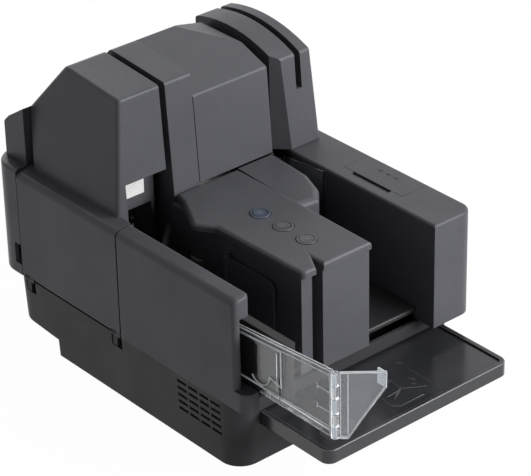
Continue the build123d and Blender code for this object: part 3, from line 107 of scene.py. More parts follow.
# ---- Node graphs ---------------------------------------------------------------------------------
class Graph:
    """Short-hand for building one material's node tree."""

    def __init__(self, name: str) -> None:
        self.material = bpy.data.materials.new(name)
        self.material.use_nodes = True
        self.tree = self.material.node_tree
        self.tree.nodes.clear()
        self.output = self.tree.nodes.new("ShaderNodeOutputMaterial")

    def node(self, kind: str, inputs: Optional[dict] = None, **settings: object) -> bpy.types.Node:
        """Add a node.

        Args:
            kind: Blender's node type without its ShaderNode prefix.
            inputs: value or output socket for each input, by name or index.
            settings: attributes of the node.

        Returns:
            The new node.
        """
        made = self.tree.nodes.new("ShaderNode" + kind)
        for name, value in settings.items():
            setattr(made, name, value)
        for name, value in (inputs or {}).items():
            self.feed(made.inputs[name], value)
        return made

    def feed(self, socket: bpy.types.NodeSocket, value: object) -> None:
        """Link an output into an input socket, or set the socket's own value.

        Args:
            socket: the input.
            value: an output socket, a colour, or the input's own value.
        """
        if isinstance(value, bpy.types.NodeSocket):
            self.tree.links.new(value, socket)
        elif isinstance(value, tuple) and socket.type == "RGBA" and len(value) == 3:
            socket.default_value = (*value, 1.0)
        else:
            socket.default_value = value

    def coordinates(self, scale: Sequence[float] = (1, 1, 1)) -> bpy.types.NodeSocket:
        """Object coordinates in metres, stretched by a scale.

        Args:
            scale: factor along each axis.

        Returns:
            The coordinates' socket.
        """
        source = self.node("TexCoord").outputs["Object"]
        if tuple(scale) == (1, 1, 1):
            return source
        return self.node("Mapping", {"Vector": source, "Scale": tuple(scale)}).outputs["Vector"]

    def noise(self, size_mm: float, detail: float = 2.0, roughness: float = 0.5,
              stretch: Sequence[float] = (1, 1, 1)) -> bpy.types.NodeSocket:
        """Noise whose grains are about a size.

        Args:
            size_mm: the grains' size in millimetres.
            detail: octaves of finer noise.
            roughness: share of each finer octave.
            stretch: factor on the coordinates along each axis.

        Returns:
            The noise's value, from 0 to 1.
        """
        inputs = {"Vector": self.coordinates(stretch), "Scale": 1.0 / (size_mm * MM),
                  "Detail": detail, "Roughness": roughness}
        return self.node("TexNoise", inputs).outputs["Fac"]

    def math(self, operation: str, *values: object) -> bpy.types.NodeSocket:
        """One arithmetic node over one to three values or sockets.

        Args:
            operation: Blender's name of the operation.
            values: its operands.

        Returns:
            The result's socket.
        """
        made = self.node("Math", operation=operation)
        for index, value in enumerate(values):
            self.feed(made.inputs[index], value)
        return made.outputs["Value"]

    def span(self, value: object, source: tuple[float, float],
             target: tuple[float, float]) -> bpy.types.NodeSocket:
        """Map a range of a value onto another, clamped.

        Args:
            value: socket to map.
            source: the value's low and high.
            target: what they become.

        Returns:
            The mapped value's socket.
        """
        inputs = {"Value": value, "From Min": source[0], "From Max": source[1],
                  "To Min": target[0], "To Max": target[1]}
        return self.node("MapRange", inputs).outputs["Result"]

    def tint(self, factor: object, first: object, second: object) -> bpy.types.NodeSocket:
        """Blend two colours.

        Args:
            factor: share of the second colour.
            first: a colour or its socket.
            second: the other.

        Returns:
            The blended colour's socket.
        """
        made = self.node("Mix", {"Factor": factor}, data_type="RGBA")
        self.feed(made.inputs[6], first)
        self.feed(made.inputs[7], second)
        return made.outputs[2]

    def bump(self, height: object, distance_mm: float,
             edge_mm: float = 0.0) -> bpy.types.NodeSocket:
        """Normal of a grained surface whose sharp edges are softened.

        Args:
            height: the grain, from 0 to 1.
            distance_mm: its depth in millimetres.
            edge_mm: radius of the softened edges, none where 0.

        Returns:
            The normal's socket.
        """
        inputs = {"Height": height, "Distance": distance_mm * MM}
        if edge_mm:
            bevel = self.node("Bevel", {"Radius": edge_mm * MM}, samples=BEVEL_SAMPLES)
            inputs["Normal"] = bevel.outputs["Normal"]
        return self.node("Bump", inputs).outputs["Normal"]

    def finish(self, shader: bpy.types.NodeSocket) -> bpy.types.Material:
        """Send a shader to the output.

        Args:
            shader: the shader's socket.

        Returns:
            The finished material.
        """
        self.tree.links.new(shader, self.output.inputs["Surface"])
        return self.material


def scaled(colour: Colour, factor: float) -> Colour:
    """A colour made lighter or darker.

    Args:
        colour: linear red, green and blue.
        factor: what each is multiplied by.

    Returns:
        The new colour, at most 1.
    """
    return tuple(min(1.0, part * factor) for part in colour)


# ---- Finishes ------------------------------------------------------------------------------------
@dataclass(frozen=True)
class Finish:
    """A surface finish that builds one material."""

    name: str

    def shader(self, graph: Graph) -> bpy.types.NodeSocket:
        """Build the finish's shader.

        Args:
            graph: the material's nodes.

        Returns:
            The shader's socket.
        """
        raise NotImplementedError

    def build(self) -> bpy.types.Material:
        """Make the material.

        Returns:
            The finished material.
        """
        graph = Graph(self.name)
        return graph.finish(self.shader(graph))


@dataclass(frozen=True)
class MouldedPlastic(Finish):
    """Plastic with a spark-eroded grain, faint flow mottling and a little handling sheen."""

    colour: Colour
    roughness: float = 0.5
    grain_mm: float = 0.5
    grain_depth_mm: float = 0.025
    mottle: float = 0.05
    specular: float = 0.3
    sheen: float = 0.0
    sheen_roughness: float = 0.22
    edge_mm: float = 0.35
    cloud_mm: float = 28.0
    speck_ratio: float = 2.2
    speck_lift: float = 1.3
    wear: float = 0.05

    def shader(self, graph: Graph) -> bpy.types.NodeSocket:
        """Grain from fine noise, tone and roughness from broad clouds, small lighter specks."""
        grain = graph.noise(self.grain_mm, 3.0, 0.6)
        cloud = graph.noise(self.cloud_mm, 3.0)
        speck = graph.noise(self.grain_mm * self.speck_ratio, 1.0)
        dark, light = (scaled(self.colour, share) for share in (1 - self.mottle, 1 + self.mottle))
        base = graph.tint(graph.span(cloud, (0.3, 0.7), (0, 1)), dark, light)
        paler = scaled(self.colour, self.speck_lift)
        lift = graph.tint(graph.span(speck, (0.45, 0.7), (0, 0.3)), base, paler)
        worn = (self.roughness + self.wear, self.roughness - self.wear)
        rough = graph.span(cloud, (0.3, 0.7), worn)
        return graph.node("BsdfPrincipled", {
            "Base Color": lift, "Roughness": rough, "IOR": 1.5, "Specular IOR Level": self.specular,
            "Coat Weight": self.sheen, "Coat Roughness": self.sheen_roughness,
            "Normal": graph.bump(grain, self.grain_depth_mm, self.edge_mm)}).outputs["BSDF"]


@dataclass(frozen=True)
class GlossPlastic(Finish):
    """Smooth moulded plastic with a faint orange-peel and fine wiping marks."""

    colour: Colour
    roughness: float = 0.18
    edge_mm: float = 0.3
    glow: float = 0.0
    peel_mm: float = 3.0
    peel_depth_mm: float = 0.01
    wipe_mm: float = 1.2
    smear_mm: float = 30.0
    smear_lift: float = 1.15

    def shader(self, graph: Graph) -> bpy.types.NodeSocket:
        """Peel from soft noise, wiping marks from noise stretched along Y, smears from clouds."""
        peel = graph.noise(self.peel_mm, 1.0)
        wipe = graph.noise(self.wipe_mm, 2.0, stretch=(1.0, 0.12, 1.0))
        smear = graph.noise(self.smear_mm, 3.0)
        marks = graph.span(wipe, (0.4, 0.7), (self.roughness, self.roughness + 0.07))
        rough = graph.math("ADD", marks, graph.span(smear, (0.4, 0.7), (0.0, 0.05)))
        smeared = scaled(self.colour, self.smear_lift)
        base = graph.tint(graph.span(smear, (0.3, 0.7), (0, 1)), self.colour, smeared)
        normal = graph.bump(peel, self.peel_depth_mm, self.edge_mm)
        return graph.node("BsdfPrincipled", {
            "Base Color": base, "Roughness": rough, "IOR": 1.5, "Emission Color": self.colour,
            "Emission Strength": self.glow, "Normal": normal}).outputs["BSDF"]


@dataclass(frozen=True)
class ClearPlastic(Finish):
    """Clear polycarbonate with a little haze and fine scratches."""

    colour: Colour = (0.93, 0.95, 0.96)
    roughness: float = 0.03
    clarity: float = 1.0
    scratch_mm: float = 0.8
    haze_mm: float = 18.0
    wave_depth_mm: float = 0.02

    def shader(self, graph: Graph) -> bpy.types.NodeSocket:
        """Scratches from noise stretched along Y, haze from broad noise."""
        scratch = graph.noise(self.scratch_mm, 2.0, stretch=(1.0, 0.08, 1.0))
        haze = graph.noise(self.haze_mm, 2.0)
        marks = graph.span(scratch, (0.55, 0.75), (self.roughness, self.roughness + 0.08))
        rough = graph.math("ADD", marks, graph.span(haze, (0.4, 0.7), (0.0, 0.03)))
        return graph.node("BsdfPrincipled", {
            "Base Color": self.colour, "Roughness": rough, "IOR": 1.45,
            "Transmission Weight": self.clarity,
            "Normal": graph.bump(haze, self.wave_depth_mm)}).outputs["BSDF"]


@dataclass(frozen=True)
class Metal(Finish):
    """Brushed or sintered metal."""

    colour: Colour
    roughness: float = 0.32
    brush: tuple[float, float, float] = (1.0, 0.05, 1.0)
    line_mm: float = 0.25
    tarnish_mm: float = 16.0

    def shader(self, graph: Graph) -> bpy.types.NodeSocket:
        """Brush lines from stretched noise, tarnish from broad clouds."""
        lines = graph.noise(self.line_mm, 3.0, stretch=self.brush)
        cloud = graph.noise(self.tarnish_mm, 3.0)
        streaks = graph.span(lines, (0.3, 0.7), (self.roughness - 0.08, self.roughness + 0.08))
        rough = graph.math("ADD", streaks, graph.span(cloud, (0.4, 0.8), (0.0, 0.1)))
        base = graph.tint(cloud, self.colour, scaled(self.colour, 0.86))
        return graph.node("BsdfPrincipled", {
            "Base Color": base, "Metallic": 1.0, "Roughness": rough,
            "Normal": graph.bump(lines, 0.004, 0.2)}).outputs["BSDF"]


@dataclass(frozen=True)
class Rubber(Finish):
    """Matt rubber with a fine dusty bloom."""

    colour: Colour = (0.035, 0.035, 0.036)
    grain_mm: float = 0.5
    bloom_mm: float = 7.0
    bloom_lift: float = 2.2

    def shader(self, graph: Graph) -> bpy.types.NodeSocket:
        """Bloom from clustered noise over a fine grain."""
        grain = graph.noise(self.grain_mm, 3.0)
        bloom = graph.noise(self.bloom_mm, 4.0)
        dusty = scaled(self.colour, self.bloom_lift)
        base = graph.tint(graph.span(bloom, (0.5, 0.75), (0, 0.5)), self.colour, dusty)
        return graph.node("BsdfPrincipled", {
            "Base Color": base, "Roughness": graph.span(grain, (0.3, 0.7), (0.75, 0.95)),
            "Normal": graph.bump(grain, 0.03, 0.3)}).outputs["BSDF"]


@dataclass(frozen=True)
class SleevedShaft(Finish):
    """One finish on a roller's sleeve and another on the shaft above and below it."""

    sleeve: Finish
    shaft: Finish
    span_mm: tuple[float, float]

    def shader(self, graph: Graph) -> bpy.types.NodeSocket:
        """The sleeve's finish between two heights, the shaft's outside them."""
        height = graph.node("SeparateXYZ", {"Vector": graph.coordinates()}).outputs["Z"]
        low, high = (float(place(np.array([0, 0, z]))[2]) for z in self.span_mm)
        inside = graph.math("MULTIPLY", graph.math("GREATER_THAN", height, low),
                            graph.math("LESS_THAN", height, high))
        shaders = {0: inside, 1: self.shaft.shader(graph), 2: self.sleeve.shader(graph)}
        return graph.node("MixShader", shaders).outputs[0]


@dataclass(frozen=True)
class Board(Finish):
    """Solder-resist green with paler copper runs showing through and tinned pads."""

    resist: Colour = (0.012, 0.10, 0.045)
    run: Colour = (0.025, 0.18, 0.08)
    tin: Colour = (0.62, 0.62, 0.6)
    runs_per_m: float = 180.0
    pads_per_m: float = 260.0
    pad_radius: float = 0.16

    def shader(self, graph: Graph) -> bpy.types.NodeSocket:
        """Runs from a distorted wave, pads from the middles of a cell pattern."""
        wave = graph.node("TexWave", {"Vector": graph.coordinates(), "Scale": self.runs_per_m,
                                      "Distortion": 2.5, "Detail": 1.0}, bands_direction="X")
        cells = graph.node("TexVoronoi", {"Vector": graph.coordinates(), "Scale": self.pads_per_m})
        runs = graph.span(wave.outputs["Fac"], (0.55, 0.65), (0, 1))
        pads = graph.math("LESS_THAN", cells.outputs["Distance"], self.pad_radius)
        green = graph.tint(runs, self.resist, self.run)
        return graph.node("BsdfPrincipled", {
            "Base Color": graph.tint(pads, green, self.tin), "Metallic": pads,
            "Roughness": graph.span(graph.noise(4.0), (0.3, 0.7), (0.25, 0.4)),
            "Normal": graph.bump(runs, 0.02, 0.15)}).outputs["BSDF"]


class Slot(Enum):
    """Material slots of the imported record, each with its finish."""

    # Darker than the covers: partly the base's own darker plastic, partly painted shade where it lies
    # in the covers' shadow.
    HOUSING = MouldedPlastic("housing_plastic", (0.037, 0.037, 0.041), 0.55, specular=0.2)
    COVER = MouldedPlastic("cover_plastic", (0.081, 0.082, 0.093), 0.45, specular=0.12, sheen=0.14)
    INNER = MouldedPlastic("dark_plastic", (0.018, 0.018, 0.02), 0.42)
    TRAY = GlossPlastic("tray_plastic", (0.026, 0.027, 0.031), 0.16)
    CLEAR = ClearPlastic("clear_plastic")
    BUTTON = GlossPlastic("button_plastic", (0.045, 0.046, 0.05), 0.32)
    LABEL = MouldedPlastic("label_white", (0.8, 0.8, 0.79), 0.5, 0.6, 0.005, 0.02)
    RUBBER = Rubber("rubber")
    STEEL = Metal("steel", (0.55, 0.56, 0.57))
    BRONZE = Metal("bronze", (0.6, 0.43, 0.22), 0.4)
    BOARD = Board("circuit_board")
    SENSOR = GlossPlastic("sensor_black", (0.012, 0.012, 0.014), 0.1)
    CARTRIDGE = GlossPlastic("cartridge", (0.08, 0.08, 0.085), 0.35)


class Paint:
    """Materials built once and shared by every piece with the same finish."""

    made: ClassVar[dict[str, bpy.types.Material]] = {}

    @classmethod
    def of(cls, finish: Finish) -> bpy.types.Material:
        """Material of a finish.

        Args:
            finish: the finish wanted.

        Returns:
            Its material, built at the first call.
        """
        if finish.name not in cls.made:
            cls.made[finish.name] = finish.build()
        return cls.made[finish.name]


# ---- Surfaces ------------------------------------------------------------------------------------
def unit(vectors: np.ndarray) -> np.ndarray:
    """Vectors of length 1 along the last axis.

    Args:
        vectors: any array of vectors.

    Returns:
        The same directions.
    """
    return vectors / np.linalg.norm(vectors, axis=-1, keepdims=True)


def arc(centre: Point, radius: float, start: float, end: float, count: int = 9) -> np.ndarray:
    """Points along an arc in the XY plane.

    Args:
        centre: x, y and z of the centre.
        radius: the arc's radius.
        start: angle of the first point in degrees, from X towards Y.
        end: angle of the last one.
        count: number of points.

    Returns:
        Centre plus radius times the cosine along X and the sine along Y.
    """
    angle = np.radians(np.linspace(start, end, count))
    flat = np.column_stack([np.cos(angle), np.sin(angle), np.zeros(count)])
    return np.asarray(centre, dtype=float) + radius * flat


def circle_section(radius: float, count: int = 12) -> np.ndarray:
    """Round section about a path.

    Args:
        radius: its radius.
        count: points round it.

    Returns:
        Two-column array of the cosine and the sine times the radius.
    """
    return arc((0, 0, 0), radius, 0, 360 - 360 / count, count)[:, :2]


def crest_section(width: float, height: float, count: int = 7) -> np.ndarray:
    """Low rounded ridge that sinks half its height under the surface it stands on.

    Args:
        width: its width on the surface.
        height: how far it stands out.
        count: points over its crest.

    Returns:
        Half a wave of cosine over the width, closed by a flat sunk base.
    """
    across = np.linspace(-0.5, 0.5, count)
    crest = np.column_stack([across * width, height * np.cos(across * math.pi)])
    base = np.array([[width / 2, -height / 2], [-width / 2, -height / 2]])
    return np.vstack([crest, base])


def carry(section: np.ndarray, path: np.ndarray, up: Point) -> np.ndarray:
    """Rings of a section carried along a path.

    The tangent at a point is the mean of the unit steps before and after it. The section's first
    axis lies along the tangent crossed with ``up``, lengthened at a corner by one over the cosine
    of half its turn so that the sides stay straight, and the second along that side crossed with
    the tangent.

    Args:
        section: two-column outline.
        path: points of the path.
        up: direction of the section's second axis, square to the path.

    Returns:
        Array of one ring of points for each point of the path.
    """
    path = np.asarray(path, dtype=float)
    beyond = 2 * path[-1:] - path[-2:-1]
    ahead = unit(np.diff(path, axis=0, append=beyond))
    behind = np.roll(ahead, 1, axis=0)
    behind[0] = ahead[0]
    tangent = unit(ahead + behind)
    side = unit(np.cross(tangent, np.asarray(up, dtype=float)))
    top = np.cross(side, tangent)
    stretch = 1 / np.sqrt((1 + np.sum(ahead * behind, axis=1)) / 2)
    along_side = section[None, :, :1] * (side * stretch[:, None])[:, None]
    return path[:, None] + along_side + section[None, :, 1:] * top[:, None]


def lathe(profile: Sequence[tuple[float, float]], centre: Point, count: int = 48) -> np.ndarray:
    """Rings of a profile turned about an upright axis.

    Args:
        profile: radius and height of each ring, in order.
        centre: x, y and z of the profile's zero.
        count: points round each ring.

    Returns:
        For each profile point, a circle of its radius at its height over the centre.
    """
    last = 360 - 360 / count
    rings = [arc((0, 0, height), radius, 0, last, count) for radius, height in profile]
    return np.asarray(centre, dtype=float) + np.stack(rings)


def solid(name: str, rings: np.ndarray, finish: Finish, body: str) -> bpy.types.Object:
    """Closed piece through rings of points.

    Neighbouring rings are joined by four-sided faces and the first and the last are capped. The
    order round the rings is reversed where the faces' normals point at the rings' centres.

    Args:
        name: the piece's name.
        rings: array of rings of points in machine millimetres.
        finish: its finish.
        body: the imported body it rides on.

    Returns:
        The new object.
    """
    if not points_outward(rings):
        rings = rings[:, ::-1]
    count, around = rings.shape[:2]
    index = np.arange(count * around).reshape(count, around)
    first, second = index[:-1], index[1:]
    quads = np.stack([first, np.roll(first, -1, 1), np.roll(second, -1, 1), second], -1)
    caps = [index[0][::-1].tolist(), index[-1].tolist()]
    faces = quads.reshape(-1, 4).tolist() + caps
    mesh = bpy.data.meshes.new(name)
    mesh.from_pydata(place(rings).reshape(-1, 3).tolist(), [], faces)
    mesh.shade_smooth()
    mesh.set_sharp_from_angle(angle=math.radians(CREASE_DEG))
    mesh.materials.append(Paint.of(finish))
    piece = bpy.data.objects.new(name, mesh)
    bpy.context.scene.collection.objects.link(piece)
    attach(piece, body)
    log.info("%s: %d faces in %s", name, len(faces), finish.name)
    return piece


def points_outward(rings: np.ndarray) -> bool:
    """Whether the faces between rings turn away from the rings' centres.

    Args:
        rings: array of rings of points.

    Returns:
        True if the sum over the faces of normal times offset from the ring's centre is positive.
    """
    along = rings[1:] - rings[:-1]
    around = np.roll(rings, -1, axis=1)[:-1] - rings[:-1]
    normal = np.cross(around, along)
    offset = rings[:-1] - rings[:-1].mean(axis=1, keepdims=True)
    return float(np.sum(normal * offset)) > 0


# ---- Assemblies ----------------------------------------------------------------------------------
@dataclass
class Assembly:
    """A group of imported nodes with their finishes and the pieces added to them."""

    plain: ClassVar[dict[Slot, tuple[str, ...]]] = {}

    def build(self) -> None:
        """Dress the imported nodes, then make the added pieces."""
        for slot, nodes in self.plain.items():
            for node in nodes:
                self.dress(node, slot.value)
        self.detail()

    @staticmethod
    def dress(node: str, finish: Finish) -> None:
        """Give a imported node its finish.

        Args:
            node: the node's name.
            finish: the finish.
        """
        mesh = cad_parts[node].data
        mesh.materials.clear()
        mesh.materials.append(Paint.of(finish))
        log.info("%s dressed in %s", node, finish.name)

    def detail(self) -> None:
        """Make the pieces added to the group; a plain group has none."""


@dataclass
class LowerHousing(Assembly):
    """Lower housing with its feet, sockets and the works inside it."""

    plain: ClassVar[dict[Slot, tuple[str, ...]]] = {
        Slot.HOUSING: ("lower_housing",),
        Slot.RUBBER: ("rubber_feet", "timing_belt"),
        Slot.INNER: ("power_inlet", "tray_rails", "motor_pulley"),
        Slot.STEEL: ("usb_port", "chassis_plate", "chassis_screws", "drive_motor"),
        Slot.BRONZE: ("shaft_bushes",),
        Slot.BOARD: ("main_board",),
    }


@dataclass
class Covers(Assembly):
    """Outer covers, hinged towers and the hatch with its cartridge."""

    plain: ClassVar[dict[Slot, tuple[str, ...]]] = {
        Slot.COVER: ("hopper_side_cover", "rear_cover", "rear_hood", "right_deck", "centre_frame",
                     "left_cover", "right_cover", "centre_cover", "hatch", "exit_nose"),
        Slot.STEEL: ("left_hinge_pins", "right_hinge_pins", "hatch_pins", "centre_hinge_bracket"),
        Slot.LABEL: ("feed_label",),
        Slot.CARTRIDGE: ("ink_cartridge",),
    }


@dataclass
class PaperPath(Assembly):
    """Floors, track walls, rollers and heads that the documents pass."""

    plain: ClassVar[dict[Slot, tuple[str, ...]]] = {
        Slot.INNER: ("hopper_floor", "pocket_floor", "track_floor", "hopper_liner", "feed_guide",
                     "inner_track", "outer_track"),
        Slot.STEEL: ("bearing_plates", "pusher_pin"),
        Slot.SENSOR: ("inner_image_sensor", "outer_image_sensor", "magnetic_head", "card_head"),
        Slot.CLEAR: ("exit_deflector",),
        Slot.COVER: ("pusher_plate",),
    }
    rollers: tuple[str, ...] = ("feed_roller", "left_drive_roller", "right_drive_roller",
                                "left_idler", "right_idler")
    sleeve_mm: tuple[float, float] = (69.0, 85.0)

    def detail(self) -> None:
        """Rubber sleeves on bright shafts."""
        finish = SleevedShaft("sleeved_shaft", Slot.RUBBER.value, Slot.STEEL.value, self.sleeve_mm)
        for roller in self.rollers:
            self.dress(roller, finish)


class Mark(Enum):
    """Plain marks on the control buttons."""

    POWER = "power"
    EJECT = "eject"
    START = "start"


@dataclass(frozen=True)
class Button:
    """Round button: a rim, a groove and a dished face that carries a printed mark."""

    node: str
    body: str
    mark: Mark
    face: Finish
    print_finish: Finish
    skirt: float = 1.2
    skirt_thick: float = 0.9
    edge: float = 0.4
    groove_radius: float = 4.7
    groove_width: float = 0.5
    groove_depth: float = 0.45
    dish_depth: float = 0.35
    hub: float = 0.25
    groove_taper: float = 0.1
    stroke: tuple[float, float] = (0.42, 0.05)
    mark_radius: float = 1.7
    ring_gap: float = 70.0

    def build(self) -> None:
        """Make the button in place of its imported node, with its mark."""
        extent = Extent.of(self.node)
        centre = extent.middle * (1, 1, 0) + extent.high * (0, 0, 1)
        reach = float(extent.high[0] - extent.low[0]) / 2
        depth = float(extent.low[2] - extent.high[2])
        rings = lathe(self.profile(reach, depth), centre)
        button = solid(self.node + "_cap", rings, self.face, self.body)
        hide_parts(self.node)
        for index, path in enumerate(self.strokes()):
            rings = carry(crest_section(*self.stroke), centre + path, UP)
            mark = solid(f"{self.node}_mark_{index + 1}", rings, self.print_finish, self.body)

    def profile(self, reach: float, depth: float) -> list[tuple[float, float]]:
        """Radius and height from the middle of the face, out over the skirt and back underneath.

        Args:
            reach: radius of the skirt.
            depth: height of the underside, below the face.

        Returns:
            The dish as a parabola, the groove as a notch and the rim's edge as a quarter circle.
        """
        radius = reach - self.skirt
        inner = self.groove_radius - self.groove_width
        dish = [(r, self.dished(r)) for r in np.linspace(self.hub, inner, 8)]
        bottom = -self.dish_depth - self.groove_depth
        taper = self.groove_taper
        groove = [(inner + taper, bottom), (self.groove_radius - taper, bottom)]
        centre, turn = radius - self.edge, np.radians(np.linspace(90, 0, 6))
        edge = [(centre + self.edge * math.cos(t), self.edge * (math.sin(t) - 1)) for t in turn]
        top = depth + self.skirt_thick
        return dish + groove + [(self.groove_radius, 0.0)] + edge + [
            (radius, top), (reach, top), (reach, depth), (self.hub, depth)]

    def dished(self, radius: float) -> float:
        """Height of the dished face: it rises from its depth with the square of the radius."""
        return -self.dish_depth * (1 - (radius / self.groove_radius) ** 2)

    def strokes(self) -> list[np.ndarray]:
        """Paths of the mark about the middle of the face."""
        r, low = self.mark_radius, (0, 0, -self.dish_depth)
        if self.mark is Mark.POWER:
            half = self.ring_gap / 2
            ring = arc(low, r, 90 + half, 450 - half, 25)
            return [ring, np.add([(0, 0.3, 0), (0, 1.25 * r, 0)], low)]
        if self.mark is Mark.EJECT:
            roof = [(-r, -0.2 * r, 0), (0, r, 0), (r, -0.2 * r, 0)]
            return [np.add(roof, low), np.add([(-r, -0.8 * r, 0), (r, -0.8 * r, 0)], low)]
        return [np.add([(-0.6 * r, -r, 0), (0.8 * r, 0, 0), (-0.6 * r, r, 0)], low)]


@dataclass
class ControlBlock(Assembly):
    """Centre block with its panel and three buttons."""

    plain: ClassVar[dict[Slot, tuple[str, ...]]] = {
        Slot.COVER: ("control_body", "control_panel"),
        Slot.BOARD: ("button_board",),
    }

    def detail(self) -> None:
        """The three buttons, the power button lit bluish."""
        blue = GlossPlastic("power_face", (0.035, 0.048, 0.075), 0.3)
        lit = GlossPlastic("power_mark", (0.22, 0.38, 0.62), 0.3, glow=0.25)
        grey = GlossPlastic("button_mark", (0.16, 0.16, 0.17), 0.4)
        plain = Slot.BUTTON.value
        Button("power_button", "power_button", Mark.POWER, blue, lit).build()
        Button("eject_button", "eject_button", Mark.EJECT, plain, grey).build()
        Button("start_button", "start_button", Mark.START, plain, grey).build()


@dataclass
class EjectTray(Assembly):
    """Glossy pull-out tray: rim beads painted pale as highlights, and a raised loading pictogram."""

    plain: ClassVar[dict[Slot, tuple[str, ...]]] = {Slot.TRAY: ("eject_tray",)}
    body: ClassVar[str] = "eject_tray"
    rim: float = 2.6
    corner: float = 3.4
    recess: float = 1.2
    bead: float = 0.45
    bead_back: float = 60.0
    line: tuple[float, float] = (0.6, 0.2)
    # Much paler than the tray: painted highlight along the rim's inner and outer edges.
    rim_painted_highlight: ClassVar[Finish] = GlossPlastic("tray_painted_highlight", (0.13, 0.131, 0.137), 0.22)
    raised: ClassVar[Finish] = GlossPlastic("tray_raised", (0.055, 0.056, 0.06), 0.2)
    mark_corner: tuple[float, float] = (110.0, -50.4)
    mark_size: tuple[float, float] = (34.0, 25.5)
    # Corners of each stroke, as shares of the pictogram's width and depth.
    strokes: ClassVar[dict[str, tuple[tuple[float, float], ...]]] = {
        "side": ((0.0, 1.0), (0.0, 0.0)),
        "front": ((0.35, 0.0), (0.9, 0.0), (1.0, 0.15), (0.96, 0.6)),
        "sheet": ((0.6, 0.88), (0.46, 0.92), (0.54, 0.5), (0.87, 0.46)),
        "stack_1": ((0.82, 0.3), (0.62, 0.42)),
        "stack_2": ((0.75, 0.37), (0.55, 0.49)),
        "stack_3": ((0.68, 0.44), (0.48, 0.56)),
        "arrow": ((0.5, 0.5), (0.27, 0.3), (0.14, 0.2)),
        "tick_far": ((0.2, 0.72), (0.15, 0.57)),
        "tick_near": ((0.28, 0.5), (0.23, 0.42)),
    }
    # Ends of the loose dashes in millimetres.
    dashes: ClassVar[dict[str, tuple[tuple[float, float], ...]]] = {
        "back": ((84.8, 4.9), (90.1, -0.6)),
        "right": ((109.2, -15.2), (111.4, -18.0)),
    }

    def detail(self) -> None:
        """The rim's pale beads, painted highlights of its edges, and the pictogram's raised lines."""
        extent = Extent.of("eject_tray")
        top = float(extent.high[2])
        edges = {"inner": (self.rim, self.corner), "outer": (self.bead, self.corner + self.rim)}
        # Each bead is a painted highlight: a pale line along one edge of the rim.
        for name, (inset, corner) in edges.items():
            path = self.rim_path(extent, inset, corner, top - self.bead)
            rings = carry(circle_section(self.bead), path, UP)
            solid(f"tray_{name}_bead", rings, self.rim_painted_highlight, self.body)
        for index, path in enumerate(self.pictogram()):
            floor = np.column_stack([path, np.full(len(path), top - self.recess)])
            rings = carry(crest_section(*self.line), floor, UP)
            solid(f"tray_line_{index + 1}", rings, self.raised, self.body)

    def rim_path(self, extent: Extent, inset: float, r: float, height: float) -> np.ndarray:
        """Edge of the rim from the back left, round the front, to the back right.

        Args:
            extent: the tray's extent.
            inset: distance inside that extent.
            r: radius of the two front corners.
            height: height of the bead's middle.

        Returns:
            Straight sides joined by quarter circles.
        """
        left, front = extent.low[:2] + inset
        right = extent.high[0] - inset
        near_left = arc((left + r, front + r, height), r, 180, 270)
        near_right = arc((right - r, front + r, height), r, 270, 360)
        start, end = [(left, self.bead_back, height)], [(right, self.bead_back, height)]
        return np.vstack([start, near_left, near_right, end])

    def pictogram(self) -> list[np.ndarray]:
        """Lines of the pictogram: a corner bracket, sheets standing in it, an arrow and dashes.

        Returns:
            Each stroke's shares of the pictogram's width, leftwards, and of its depth, backwards,
            laid off from its front right corner, then the dashes as they stand.
        """
        reach = np.array(self.mark_size) * (-1, 1)
        lines = [np.array(self.mark_corner) + np.array(shares) * reach
                 for shares in self.strokes.values()]
        return lines + [np.array(dash) for dash in self.dashes.values()]


